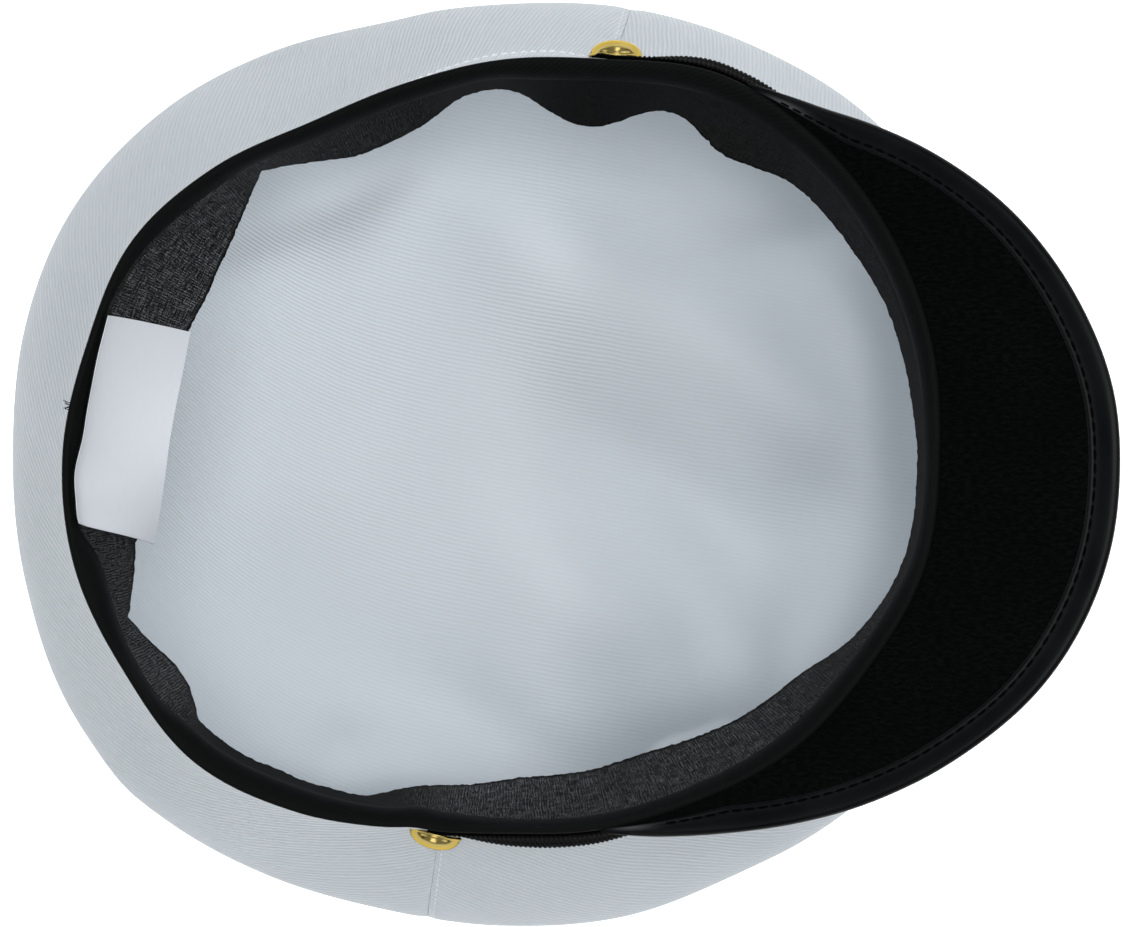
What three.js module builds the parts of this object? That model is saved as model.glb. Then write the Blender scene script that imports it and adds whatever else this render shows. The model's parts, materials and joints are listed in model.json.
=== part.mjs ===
// Captain hat, lying upside down on its crown with the head opening up.
// Millimetres, +Z up, +X towards the peak. The origin is on the floor, under the
// middle of the hat's box.
//
// Every soft wall is a closed solid of real cloth thickness, lofted round the
// head opening from short tables of named columns.

import * as THREE from 'three';

// ---- driving sizes, mm ----
const AXIS = { x: -9.76, y: 1.88 };       // middle of the head opening, in plan
const SEGMENTS = 72;                       // steps once round the hat
const CLOTH = 1.6;                         // crown wall: twill with its interlining
const GAP = 0.3;                           // left between pieces that touch
const BAND_CLOTH = 1.0;                    // sweatband and label
const BAND_WIDTH = 28.0;                   // sweatband, rim to free edge
const TAPE = { thick: 0.8, deep: 8.0, wide: 2.9, cap: 1.4 };
const RIM = { middle: 79.0, tilt: 7.0, front: -3.5 };   // rim height, its rise to the front, and where the front is (deg)
const PEAK = { thick: 1.6, edge: 1.0, slope: 36, binding: 6.2 };
const BINDING = { wall: 0.8 };
const STRAP = { wide: 9.0, thick: 2.0, top: 3.6 };
const BUTTON = { radius: 6.2, dome: 3.6, foot: 0.5, below: 8.4 };
const SEAM = { front: 74.0, back: 260.7 }; // angles of the two side seams, behind the buttons

// ---- sections round the hat, by angle about AXIS ----
// crown: radius of the widest line, where the side wall is sewn to the top panel
// crown_z: height of that line
// rim: radius of the head opening's edge
// flare: share of the way down at which the wall starts to swing outward
const SECTIONS = [
  { deg: 0, crown: 119.6, crown_z: 20.0, rim: 98.3, flare: 0.42 },
  { deg: 15, crown: 120.2, crown_z: 20.0, rim: 99.8, flare: 0.42 },
  { deg: 30, crown: 119.9, crown_z: 19.5, rim: 100.5, flare: 0.42 },
  { deg: 45, crown: 117.6, crown_z: 19.0, rim: 100.4, flare: 0.40 },
  { deg: 60, crown: 113.2, crown_z: 18.5, rim: 98.6, flare: 0.36 },
  { deg: 75, crown: 109.9, crown_z: 18.0, rim: 92.0, flare: 0.30 },
  { deg: 90, crown: 106.8, crown_z: 17.5, rim: 88.8, flare: 0.28 },
  { deg: 105, crown: 106.4, crown_z: 17.0, rim: 86.3, flare: 0.28 },
  { deg: 120, crown: 110.6, crown_z: 16.5, rim: 86.5, flare: 0.30 },
  { deg: 135, crown: 115.0, crown_z: 16.0, rim: 91.7, flare: 0.32 },
  { deg: 150, crown: 117.7, crown_z: 16.0, rim: 96.3, flare: 0.34 },
  { deg: 165, crown: 117.4, crown_z: 16.0, rim: 96.8, flare: 0.34 },
  { deg: 180, crown: 116.3, crown_z: 16.0, rim: 99.0, flare: 0.34 },
  { deg: 195, crown: 117.1, crown_z: 16.0, rim: 99.5, flare: 0.34 },
  { deg: 210, crown: 119.0, crown_z: 16.0, rim: 98.0, flare: 0.32 },
  { deg: 225, crown: 117.9, crown_z: 16.5, rim: 97.8, flare: 0.30 },
  { deg: 240, crown: 114.4, crown_z: 17.0, rim: 92.7, flare: 0.28 },
  { deg: 255, crown: 111.1, crown_z: 17.5, rim: 87.0, flare: 0.26 },
  { deg: 270, crown: 111.4, crown_z: 18.0, rim: 84.9, flare: 0.26 },
  { deg: 285, crown: 112.8, crown_z: 18.5, rim: 86.9, flare: 0.28 },
  { deg: 300, crown: 113.6, crown_z: 19.0, rim: 89.4, flare: 0.34 },
  { deg: 315, crown: 117.2, crown_z: 19.5, rim: 93.1, flare: 0.38 },
  { deg: 330, crown: 119.5, crown_z: 20.0, rim: 95.3, flare: 0.40 },
  { deg: 345, crown: 119.9, crown_z: 20.0, rim: 98.3, flare: 0.42 },
];

// Dents and folds pressed into the side wall: where, how wide, how deep (inward is
// negative), and how far down the wall (0 at the rim, 1 at the widest line).
const SIDE_DENTS = [
  { deg: 121, half_width: 9, depth: -2.2, down: 0.72 },
  { deg: 99, half_width: 7, depth: 1.4, down: 0.70 },
  { deg: 52, half_width: 8, depth: -1.6, down: 0.70 },
  { deg: 150, half_width: 12, depth: -1.2, down: 0.60 },
  { deg: 200, half_width: 14, depth: -1.4, down: 0.55 },
  { deg: 221, half_width: 6, depth: 1.4, down: 0.80 },
  { deg: 243, half_width: 8, depth: -1.5, down: 0.66 },
  { deg: 294, half_width: 7, depth: -2.4, down: 0.62 },
  { deg: 306, half_width: 6, depth: 1.5, down: 0.74 },
  { deg: 345, half_width: 10, depth: -1.2, down: 0.70 },
  { deg: 20, half_width: 10, depth: 1.0, down: 0.72 },
];

// Soft folds of the top panel, seen from inside: middle (from AXIS), direction, half
// length, half width and height. The panel stays flat on the floor in a ring near its edge.
const TOP_FOLDS = [
  { x: 24.6, y: -36.5, deg: 160, length: 60.0, width: 21.3, height: 7.0 },
  { x: -76.5, y: -53.5, deg: 140, length: 60.0, width: 17.6, height: -6.7 },
  { x: 87.2, y: -16.6, deg: 129, length: 28.5, width: 22.3, height: -6.2 },
  { x: 39.2, y: -74.7, deg: 17, length: 22.1, width: 12.0, height: -5.5 },
  { x: -25.0, y: -84.9, deg: 81, length: 10.3, width: 21.6, height: -5.4 },
  { x: 30.0, y: 86.9, deg: 168, length: 56.2, width: 9.6, height: 5.1 },
  { x: 26.4, y: -6.6, deg: 66, length: 50.0, width: 28.0, height: 5.0 },
  { x: 1.2, y: 47.8, deg: 81, length: 60.0, width: 24.3, height: 4.8 },
  { x: 2.2, y: 10.2, deg: 67, length: 60.0, width: 28.0, height: 4.6 },
  { x: 10.5, y: -55.3, deg: 138, length: 24.3, width: 13.3, height: 3.5 },
];
const TOP = { base: 1.0, flat_to: 14, rise_to: 34 };   // rise of the folds, by distance in from the widest line
// The panel's rolled edge: distance in from the widest line, share of that line's height.
const TOP_EDGE = [{ inward: 7.0, share: 0 }, { inward: 3.0, share: 0.2 }, { inward: 1.0, share: 0.52 }, { inward: 0, share: 1 }];

// Free edge of the sweatband: how far inside the rim it stands at each wave.
const WAVES = [
  { deg: 0.7, inside: 4.2 }, { deg: 21.8, inside: 5.8 }, { deg: 40.6, inside: 8.8 },
  { deg: 48.0, inside: 12.0 }, { deg: 54.0, inside: 14.6 }, { deg: 58.5, inside: 12.2 },
  { deg: 65.0, inside: 9.2 }, { deg: 74.0, inside: 14.5 }, { deg: 82.8, inside: 9.9 },
  { deg: 91.0, inside: 4.3 }, { deg: 102.0, inside: 8.0 }, { deg: 112.0, inside: 9.7 },
  { deg: 121.7, inside: 7.0 }, { deg: 130.2, inside: 4.4 }, { deg: 139.3, inside: 14.0 },
  { deg: 151.5, inside: 20.0 }, { deg: 158.2, inside: 19.5 }, { deg: 167.7, inside: 21.0 },
  { deg: 177.1, inside: 22.0 }, { deg: 186.1, inside: 20.0 }, { deg: 193.5, inside: 13.0 },
  { deg: 199.8, inside: 8.0 }, { deg: 203.7, inside: 4.5 },
  { deg: 210.0, inside: 8.0 }, { deg: 216.0, inside: 8.7 }, { deg: 221.5, inside: 4.8 },
  { deg: 232.1, inside: 5.6 }, { deg: 247.5, inside: 4.7 }, { deg: 256.1, inside: 8.5 },
  { deg: 275.1, inside: 11.3 }, { deg: 294.9, inside: 13.1 }, { deg: 316.0, inside: 11.1 },
  { deg: 323.7, inside: 9.6 }, { deg: 332.1, inside: 5.4 }, { deg: 345.5, inside: 4.2 },
];

// Peak: plan distance from the rim to its outer edge, by angle.
const PEAK_REACH = [
  { deg: -75.0, reach: 1.2 }, { deg: -69.7, reach: 3.1 }, { deg: -62.9, reach: 6.3 },
  { deg: -55.9, reach: 10.2 }, { deg: -48.9, reach: 14.6 }, { deg: -41.9, reach: 19.6 },
  { deg: -34.9, reach: 24.9 }, { deg: -24.9, reach: 31.4 }, { deg: -15.0, reach: 34.9 },
  { deg: -5.0, reach: 37.0 }, { deg: 5.0, reach: 36.2 }, { deg: 14.9, reach: 31.4 },
  { deg: 24.9, reach: 24.8 }, { deg: 34.9, reach: 16.2 }, { deg: 41.9, reach: 9.7 },
  { deg: 46.9, reach: 5.4 }, { deg: 52.4, reach: 2.4 }, { deg: 56.2, reach: 1.2 },
];

const LABEL = { from: 160.0, to: 190.0, top: 3.2 };

// ---- helpers ----
const rad = THREE.MathUtils.degToRad;
const lerp = THREE.MathUtils.lerp;
const wrap = (deg) => ((deg % 360) + 360) % 360;

// Smooth value of a column at an angle, through the rows of a table that closes on itself.
function round(rows, column, deg) {
  const n = rows.length;
  const a = wrap(deg - rows[0].deg);
  let i = 0;
  while (i < n - 1 && wrap(rows[i + 1].deg - rows[0].deg) <= a) i += 1;
  const at = (k) => rows[(k + n) % n];
  const step = wrap(at(i + 1).deg - at(i).deg) || 360;
  const t = (a - wrap(at(i).deg - rows[0].deg)) / step;
  const before = wrap(at(i).deg - at(i - 1).deg) || step;
  const after = wrap(at(i + 2).deg - at(i + 1).deg) || step;
  const y0 = at(i - 1)[column], y1 = at(i)[column], y2 = at(i + 1)[column], y3 = at(i + 2)[column];
  const m1 = step * ((y2 - y1) / step * before + (y1 - y0) / before * step) / (before + step);
  const m2 = step * ((y3 - y2) / after * step + (y2 - y1) / step * after) / (after + step);
  const t2 = t * t, t3 = t2 * t;
  return (2 * t3 - 3 * t2 + 1) * y1 + (t3 - 2 * t2 + t) * m1 + (-2 * t3 + 3 * t2) * y2 + (t3 - t2) * m2;
}

// The same along a table that has two ends.
function along(rows, column, deg) {
  const last = rows.length - 1;
  let i = 0;
  while (i < last - 1 && rows[i + 1].deg <= deg) i += 1;
  const at = (k) => rows[THREE.MathUtils.clamp(k, 0, last)];
  const step = at(i + 1).deg - at(i).deg;
  const t = THREE.MathUtils.clamp((deg - at(i).deg) / step, 0, 1);
  const slope = (k) => (at(k + 1)[column] - at(k)[column]) / (at(k + 1).deg - at(k).deg || 1);
  const lean = (k) => (k <= 0 ? slope(0) : k >= last ? slope(last - 1)
    : (slope(k - 1) * (at(k + 1).deg - at(k).deg) + slope(k) * (at(k).deg - at(k - 1).deg)) / (at(k + 1).deg - at(k - 1).deg));
  const m1 = step * lean(i), m2 = step * lean(i + 1);
  const t2 = t * t, t3 = t2 * t;
  return (2 * t3 - 3 * t2 + 1) * at(i)[column] + (t3 - 2 * t2 + t) * m1 + (-2 * t3 + 3 * t2) * at(i + 1)[column] + (t3 - t2) * m2;
}

const rimRadius = (deg) => round(SECTIONS, 'rim', deg);
const rimHeight = (deg) => RIM.middle + RIM.tilt * Math.cos(rad(deg - RIM.front));
const crownRadius = (deg) => round(SECTIONS, 'crown', deg);
const crownHeight = (deg) => round(SECTIONS, 'crown_z', deg);

function place(deg, r, z) {
  return new THREE.Vector3(AXIS.x + r * Math.cos(rad(deg)), AXIS.y + r * Math.sin(rad(deg)), z);
}

// A closed solid through stations, each a loop of points that runs along one face
// of the wall and back along the other. closed: the last station meets the first.
function loft(stations, closed) {
  const m = stations[0].length;
  const n = stations.length;
  const positions = [];
  const index = [];
  for (const loop of stations) for (const p of loop) positions.push(p.x, p.y, p.z);
  const quad = (a, b, c, d) => index.push(a, b, c, a, c, d);
  for (let i = 0; i < (closed ? n : n - 1); i += 1) {
    const j = (i + 1) % n;
    for (let k = 0; k < m; k += 1) {
      const l = (k + 1) % m;
      quad(i * m + k, j * m + k, j * m + l, i * m + l);
    }
  }
  if (!closed) {
    for (let k = 0; k < m / 2 - 1; k += 1) {
      quad(k, k + 1, m - 2 - k, m - 1 - k);
      const e = (n - 1) * m;
      quad(e + m - 1 - k, e + m - 2 - k, e + k + 1, e + k);
    }
  }
  return outward(positions, index);
}

function outward(positions, index) {
  let volume = 0;
  const a = new THREE.Vector3(), b = new THREE.Vector3(), c = new THREE.Vector3();
  for (let i = 0; i < index.length; i += 3) {
    a.fromArray(positions, index[i] * 3);
    b.fromArray(positions, index[i + 1] * 3);
    c.fromArray(positions, index[i + 2] * 3);
    volume += a.dot(b.cross(c)) / 6;
  }
  if (volume < 0) for (let i = 0; i < index.length; i += 3) [index[i], index[i + 1]] = [index[i + 1], index[i]];
  const geometry = new THREE.BufferGeometry();
  geometry.setAttribute('position', new THREE.Float32BufferAttribute(positions, 3));
  geometry.setIndex(index);
  geometry.computeVertexNormals();
  return geometry;
}

// Thickens a profile in the (radius, height) plane: the loop goes along it and back
// at a distance to its inside. Both ends are cut level.
function thicken(profile, thick) {
  const last = profile.length - 1;
  const back = profile.map((p, i) => {
    const q = profile[Math.max(0, i - 1)], s = profile[Math.min(last, i + 1)];
    const d = new THREE.Vector2(s.x - q.x, s.y - q.y).normalize();
    if (i === 0 || i === last) return new THREE.Vector2(p.x - thick / Math.max(-d.y, 0.5), p.y);
    return new THREE.Vector2(p.x + d.y * thick, p.y - d.x * thick);
  });
  return [...profile, ...back.reverse()];
}

const evenly = (from, to, count) => Array.from({ length: count }, (_, i) => lerp(from, to, i / (count - 1)));
const allRound = evenly(0, 360 - 360 / SEGMENTS, SEGMENTS);

function mesh(name, geometry, color, roughness, metalness = 0) {
  const m = new THREE.Mesh(geometry, new THREE.MeshStandardMaterial({ color, roughness, metalness }));
  m.name = name;
  return m;
}

// ---- crown: side wall ----
function dent(deg, down) {
  let sum = 0;
  for (const d of SIDE_DENTS) {
    const a = (wrap(deg - d.deg + 180) - 180) / d.half_width;
    const b = (down - d.down) / 0.26;
    sum += d.depth * Math.exp(-a * a - b * b);
  }
  return sum * Math.min(1, down / 0.2) * Math.min(1, (1 - down) / 0.15);
}

function sideProfile(deg) {
  const top = rimHeight(deg) - TAPE.cap - GAP;
  const bottom = crownHeight(deg);
  const r0 = rimRadius(deg), r1 = crownRadius(deg), start = round(SECTIONS, 'flare', deg);
  return [0, 0.16, 0.32, 0.48, 0.64, 0.8, 0.92, 1].map((down) => {
    const s = THREE.MathUtils.clamp((down - start * 0.6) / (1 - start * 0.6), 0, 1);
    const out = Math.sin(s * Math.PI / 2) ** 1.7;
    return new THREE.Vector2(r0 + (r1 - r0) * out + dent(deg, down), lerp(top, bottom, down));
  });
}

function sideWall(from, to) {
  const steps = Math.round((to - from) / (360 / SEGMENTS)) + 1;
  const stations = evenly(from, to, steps).map((deg) => {
    const outer = sideProfile(deg);
    return thicken(outer, CLOTH).map((p) => place(deg, p.x, p.y));
  });
  return loft(stations, false);
}

// ---- crown: top panel ----
function topLift(x, y, fromEdge) {
  let h = TOP.base;
  for (const f of TOP_FOLDS) {
    const c = Math.cos(rad(f.deg)), s = Math.sin(rad(f.deg));
    const a = ((x - AXIS.x - f.x) * c + (y - AXIS.y - f.y) * s) / f.length;
    const b = (-(x - AXIS.x - f.x) * s + (y - AXIS.y - f.y) * c) / f.width;
    h += f.height * Math.exp(-a * a - b * b);
  }
  return Math.max(0, h) * THREE.MathUtils.smoothstep(fromEdge, TOP.flat_to, TOP.rise_to);
}

function topPanel() {
  const fractions = [0.2, 0.4, 0.58, 0.74, 0.87, 1];
  const rings = [];
  for (const f of fractions) rings.push((R) => ({ r: (R - TOP.flat_to) * f, share: 0 }));
  for (const { inward, share } of TOP_EDGE) rings.push((R) => ({ r: R - inward, share }));
  const positions = [], index = [];
  const lift0 = topLift(AXIS.x, AXIS.y, 100);
  const layer = (isInner) => {
    const first = positions.length / 3;
    positions.push(AXIS.x, AXIS.y, lift0 + (isInner ? CLOTH : 0));
    for (const ring of rings) {
      for (const deg of allRound) {
        const R = crownRadius(deg);
        const { r, share } = ring(R);
        const edge = crownHeight(deg) - GAP;
        const inset = isInner ? CLOTH * share : 0;
        const p = place(deg, r - inset, 0);
        const lift = topLift(p.x, p.y, R - r);
        const flat = isInner ? CLOTH * (1 - share) : 0;
        positions.push(p.x, p.y, lift + share * edge + flat);
      }
    }
    return first;
  };
  const outer = layer(false), inner = layer(true);
  const vertex = (first, ring, seg) => first + 1 + ring * SEGMENTS + (seg % SEGMENTS);
  for (let s = 0; s < SEGMENTS; s += 1) {
    index.push(outer, vertex(outer, 0, s + 1), vertex(outer, 0, s));
    index.push(inner, vertex(inner, 0, s), vertex(inner, 0, s + 1));
    for (let k = 0; k < rings.length - 1; k += 1) {
      const [a, b, c, d] = [vertex(outer, k, s), vertex(outer, k, s + 1), vertex(outer, k + 1, s + 1), vertex(outer, k + 1, s)];
      index.push(a, b, c, a, c, d);
      const [e, f, g, h] = [vertex(inner, k, s), vertex(inner, k, s + 1), vertex(inner, k + 1, s + 1), vertex(inner, k + 1, s)];
      index.push(e, g, f, e, h, g);
    }
    const k = rings.length - 1;
    const [a, b, c, d] = [vertex(outer, k, s), vertex(outer, k, s + 1), vertex(inner, k, s + 1), vertex(inner, k, s)];
    index.push(a, b, c, a, c, d);
  }
  return outward(positions, index);
}

// ---- rim tape: caps the wall's edge and turns down inside it ----
function rimTape() {
  const stations = allRound.map((deg) => {
    const r = rimRadius(deg), z = rimHeight(deg);
    const leg = r - CLOTH - GAP;
    const loop = [
      [r, z - TAPE.cap], [r, z - 0.4], [r - 0.5, z], [r - TAPE.wide + 0.4, z],
      [r - TAPE.wide, z - 0.4], [leg - TAPE.thick, z - TAPE.deep], [leg, z - TAPE.deep], [leg, z - TAPE.cap],
    ];
    return loop.map(([x, y]) => place(deg, x, y));
  });
  return loft(stations, true);
}

// ---- sweatband and label: strips that hang inside from the tape ----
function bandPoint(deg, t, lift) {
  const r = rimRadius(deg), z = rimHeight(deg);
  const reach = round(WAVES, 'inside', deg);
  const start = TAPE.wide + GAP + 0.1;
  const h = Math.max(reach, start + 1.0);
  const drop = Math.sqrt(BAND_WIDTH ** 2 - h ** 2);
  const inside = lerp(start, h, t ** 1.25) + lift * (drop / BAND_WIDTH);
  return new THREE.Vector2(r - inside, z - 1.0 - (drop - 1.0) * t + lift * (h / BAND_WIDTH));
}

function sweatband() {
  const count = 108;
  const stations = evenly(0, 360 - 360 / count, count).map((deg) => {
    const outer = [0, 0.34, 0.67, 1].map((t) => bandPoint(deg, t, 0));
    const inner = [1, 0.67, 0.34, 0].map((t) => bandPoint(deg, t, BAND_CLOTH));
    return [...outer, ...inner].map((p) => place(deg, p.x, p.y));
  });
  return loft(stations, true);
}

function label() {
  const off = BAND_CLOTH + GAP + 0.7;
  const stations = evenly(LABEL.from, LABEL.to, 10).map((deg) => {
    const ts = [LABEL.top / BAND_WIDTH, 0.34, 0.67, 0.98];
    const outer = ts.map((t) => bandPoint(deg, t, off));
    const inner = [...ts].reverse().map((t) => bandPoint(deg, t, off + BAND_CLOTH));
    return [...outer, ...inner].map((p) => place(deg, p.x, p.y));
  });
  return loft(stations, false);
}

// ---- peak and its binding ----
function peakPoint(deg, plan, lift) {
  // plan: distance outward from the rim; lift: off the underside, square to the board
  const reach = along(PEAK_REACH, 'reach', deg);
  const slope = rad(PEAK.slope);
  const bow = 1.2 * Math.sin(Math.PI * THREE.MathUtils.clamp(plan / Math.max(reach, 1), 0, 1)) * Math.min(1, reach / 20);
  const r = rimRadius(deg) + GAP + 0.1 + plan + (PEAK.thick - lift) * Math.sin(slope);
  const z = rimHeight(deg) - TAPE.cap + plan * Math.tan(slope) + bow + lift * Math.cos(slope);
  return place(deg, r, z);
}

const peakFrom = PEAK_REACH[0].deg, peakTo = PEAK_REACH[PEAK_REACH.length - 1].deg;
const peakEdge = (deg) => Math.max(0.3, along(PEAK_REACH, 'reach', deg) - 0.9);
const bindingWidth = (deg) => Math.min(PEAK.binding * Math.cos(rad(PEAK.slope)), along(PEAK_REACH, 'reach', deg) * 0.55);

function peak() {
  const margin = 2.0;
  const stations = evenly(peakFrom + margin, peakTo - margin, 41).map((deg) => {
    const edge = peakEdge(deg) - BINDING.wall - GAP, step = peakEdge(deg) - bindingWidth(deg) - GAP;
    const inset = (PEAK.thick - PEAK.edge) / 2;
    const plans = [[0, 0], [step * 0.33, 0], [step * 0.67, 0], [step, 0], [step + 0.05, inset], [edge, inset]];
    const under = plans.map(([p, l]) => peakPoint(deg, p, l));
    const over = [...plans].reverse().map(([p, l]) => peakPoint(deg, p, PEAK.thick - l));
    return [...under, ...over];
  });
  return loft(stations, false);
}

function peakBinding() {
  const stations = evenly(peakFrom, peakTo, 45).map((deg) => {
    const edge = peakEdge(deg), inner = edge - bindingWidth(deg), groove = Math.max(edge - BINDING.wall, inner + 0.2);
    const a = (PEAK.thick - PEAK.edge) / 2 - GAP, wall = BINDING.wall;
    const low = a, high = PEAK.thick - a;
    const loop = [
      [inner, low - wall * 0.6], [lerp(inner, edge, 0.5), low - wall], [edge - 0.3, low - wall * 0.7], [edge, (low + high) / 2],
      [edge - 0.3, high + wall * 0.7], [lerp(inner, edge, 0.5), high + wall], [inner, high + wall * 0.6],
      [inner, high], [groove, high], [groove, low], [inner, low],
    ];
    return loop.map(([p, l]) => peakPoint(deg, p, l));
  });
  // a channel: its caps are the loop itself, closed by triangles between its two walls
  const m = stations[0].length, n = stations.length;
  const positions = [], index = [];
  for (const loop of stations) for (const p of loop) positions.push(p.x, p.y, p.z);
  for (let i = 0; i < n - 1; i += 1) for (let k = 0; k < m; k += 1) {
    const l = (k + 1) % m;
    index.push(i * m + k, (i + 1) * m + k, (i + 1) * m + l, i * m + k, (i + 1) * m + l, i * m + l);
  }
  const caps = [[0, 1, 9], [0, 9, 10], [1, 2, 9], [2, 3, 9], [3, 8, 9], [3, 4, 8], [4, 5, 8], [5, 6, 8], [6, 7, 8]];
  const e = (n - 1) * m;
  for (const [a, b, c] of caps) index.push(a, b, c, e + c, e + b, e + a);
  return outward(positions, index);
}

// ---- strap over the front, and the two buttons ----
function frontStrap() {
  const turn = THREE.MathUtils.radToDeg((BUTTON.radius + 0.7) / 90);
  const from = SEAM.back - 360 + turn, to = SEAM.front - turn;
  const stations = evenly(from, to, 45).map((deg) => {
    const z = rimHeight(deg) - STRAP.top;
    const wall = sideProfile(deg);
    const radiusAt = (height) => {
      for (let i = 0; i < wall.length - 1; i += 1) if (wall[i + 1].y <= height) return lerp(wall[i].x, wall[i + 1].x, (wall[i].y - height) / (wall[i].y - wall[i + 1].y));
      return wall[0].x;
    };
    const rows = [0, 0.5, 1].map((t) => z - STRAP.wide * t);
    const inner = rows.map((h) => new THREE.Vector2(radiusAt(h) + GAP + 0.05, h));
    const outer = [2, 1, 0].map((i) => new THREE.Vector2(inner[i].x + STRAP.thick * (i === 1 ? 1 : 0.75), inner[i].y));
    return [...inner, ...outer].map((p) => place(deg, p.x, p.y));
  });
  return loft(stations, false);
}

function button(name, deg) {
  const profile = [
    [0, 0], [BUTTON.radius - 0.5, 0], [BUTTON.radius, 0.35], [BUTTON.radius, BUTTON.foot],
    [BUTTON.radius * 0.93, BUTTON.foot + BUTTON.dome * 0.34], [BUTTON.radius * 0.76, BUTTON.foot + BUTTON.dome * 0.63],
    [BUTTON.radius * 0.52, BUTTON.foot + BUTTON.dome * 0.86], [BUTTON.radius * 0.26, BUTTON.foot + BUTTON.dome * 0.97], [0, BUTTON.foot + BUTTON.dome],
  ].map(([x, y]) => new THREE.Vector2(x, y));
  const m = mesh(name, new THREE.LatheGeometry(profile, 24), 0xd8a520, 0.18, 1.0);
  // stands square to the wall, clear of its outer face all round the foot
  const z = rimHeight(deg) - BUTTON.below;
  const ahead = place(deg + 3, rimRadius(deg + 3), z), behind = place(deg - 3, rimRadius(deg - 3), z);
  const normal = new THREE.Vector3(ahead.y - behind.y, behind.x - ahead.x, 0).normalize();
  const middle = place(deg, rimRadius(deg), z);
  let stand = 0;
  for (const turn of evenly(-5, 5, 21)) {
    const wall = sideProfile(deg + turn);
    for (const t of evenly(0, wall.length - 1.01, 60)) {
      const p = wall[Math.floor(t)].clone().lerp(wall[Math.floor(t) + 1], t % 1);
      const at = place(deg + turn, p.x, p.y).sub(middle);
      const out = at.dot(normal);
      if (at.addScaledVector(normal, -out).length() < BUTTON.radius + 1) stand = Math.max(stand, out);
    }
  }
  m.quaternion.setFromUnitVectors(new THREE.Vector3(0, 1, 0), normal);
  m.position.copy(middle).addScaledVector(normal, stand + GAP);
  return m;
}

const white = 0xcfd5dc, black = 0x17181a, gloss = 0x0d0d0f;
const group = new THREE.Group();
group.add(
  mesh('crown_top', topPanel(), white, 0.85),
  mesh('crown_side_front', sideWall(SEAM.back - 360 + 0.1, SEAM.front - 0.1), white, 0.85),
  mesh('crown_side_back', sideWall(SEAM.front + 0.1, SEAM.back - 0.1), white, 0.85),
  mesh('rim_tape', rimTape(), black, 0.8),
  mesh('sweatband', sweatband(), 0x2c2d30, 0.9),
  mesh('label', label(), 0xdde2e8, 0.5),
  mesh('peak', peak(), 0x0b0b0c, 0.75),
  mesh('peak_binding', peakBinding(), gloss, 0.25),
  mesh('front_strap', frontStrap(), black, 0.6),
  button('button_left', SEAM.front),
  button('button_right', SEAM.back),
);

export default group;
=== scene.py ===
"""A white captain's hat, resting upside down on its crown, seen from straight above.

The frame holds the sizes. Here every soft piece is made again as fine cloth from
short tables that follow the same lines, and every surface gets its finish.
Tables are in millimetres and degrees about AXIS; meshes are in metres.
"""

import json
import math

import bpy
import numpy as np
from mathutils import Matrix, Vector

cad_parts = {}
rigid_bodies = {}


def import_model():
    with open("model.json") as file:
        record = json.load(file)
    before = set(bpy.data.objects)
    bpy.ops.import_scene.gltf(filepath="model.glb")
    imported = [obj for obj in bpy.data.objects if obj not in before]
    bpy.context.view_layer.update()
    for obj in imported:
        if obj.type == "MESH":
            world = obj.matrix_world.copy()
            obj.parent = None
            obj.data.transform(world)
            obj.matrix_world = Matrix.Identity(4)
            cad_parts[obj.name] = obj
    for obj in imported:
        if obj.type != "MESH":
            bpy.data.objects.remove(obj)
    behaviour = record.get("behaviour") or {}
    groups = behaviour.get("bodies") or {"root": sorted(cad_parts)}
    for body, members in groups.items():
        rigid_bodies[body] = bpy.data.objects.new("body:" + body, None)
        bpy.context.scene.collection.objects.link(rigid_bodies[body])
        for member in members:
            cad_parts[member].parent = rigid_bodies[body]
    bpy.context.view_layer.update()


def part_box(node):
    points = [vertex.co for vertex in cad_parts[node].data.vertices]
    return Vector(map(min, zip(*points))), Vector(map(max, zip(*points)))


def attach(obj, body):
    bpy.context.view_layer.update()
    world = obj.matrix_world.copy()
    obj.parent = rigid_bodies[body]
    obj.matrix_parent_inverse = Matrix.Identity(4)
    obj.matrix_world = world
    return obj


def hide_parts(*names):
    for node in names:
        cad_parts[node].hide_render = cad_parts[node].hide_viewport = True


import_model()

MM = 0.001
AXIS = np.array([-9.76, 1.88])
GAP = 0.3

# ---------------------------------------------------------------- tables

# angle, radius of the widest line, its height, radius of the head opening, where the flare starts
SECTIONS = np.array([
    (0, 119.6, 20.0, 98.3, 0.42), (15, 120.2, 20.0, 99.8, 0.42), (30, 119.9, 19.5, 100.5, 0.42),
    (45, 117.6, 19.0, 100.4, 0.40), (60, 113.2, 18.5, 98.6, 0.36), (75, 109.9, 18.0, 92.0, 0.30),
    (90, 106.8, 17.5, 88.8, 0.28), (105, 106.4, 17.0, 86.3, 0.28), (120, 110.6, 16.5, 86.5, 0.30),
    (135, 115.0, 16.0, 91.7, 0.32), (150, 117.7, 16.0, 96.3, 0.34), (165, 117.4, 16.0, 96.8, 0.34),
    (180, 116.3, 16.0, 99.0, 0.34), (195, 117.1, 16.0, 99.5, 0.34), (210, 119.0, 16.0, 98.0, 0.32),
    (225, 117.9, 16.5, 97.8, 0.30), (240, 114.4, 17.0, 92.7, 0.28), (255, 111.1, 17.5, 87.0, 0.26),
    (270, 111.4, 18.0, 84.9, 0.26), (285, 112.8, 18.5, 86.9, 0.28), (300, 113.6, 19.0, 89.4, 0.34),
    (315, 117.2, 19.5, 93.1, 0.38), (330, 119.5, 20.0, 95.3, 0.40), (345, 119.9, 20.0, 98.3, 0.42),
])
DEG, CROWN, CROWN_Z, RIM, FLARE = range(5)

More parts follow.
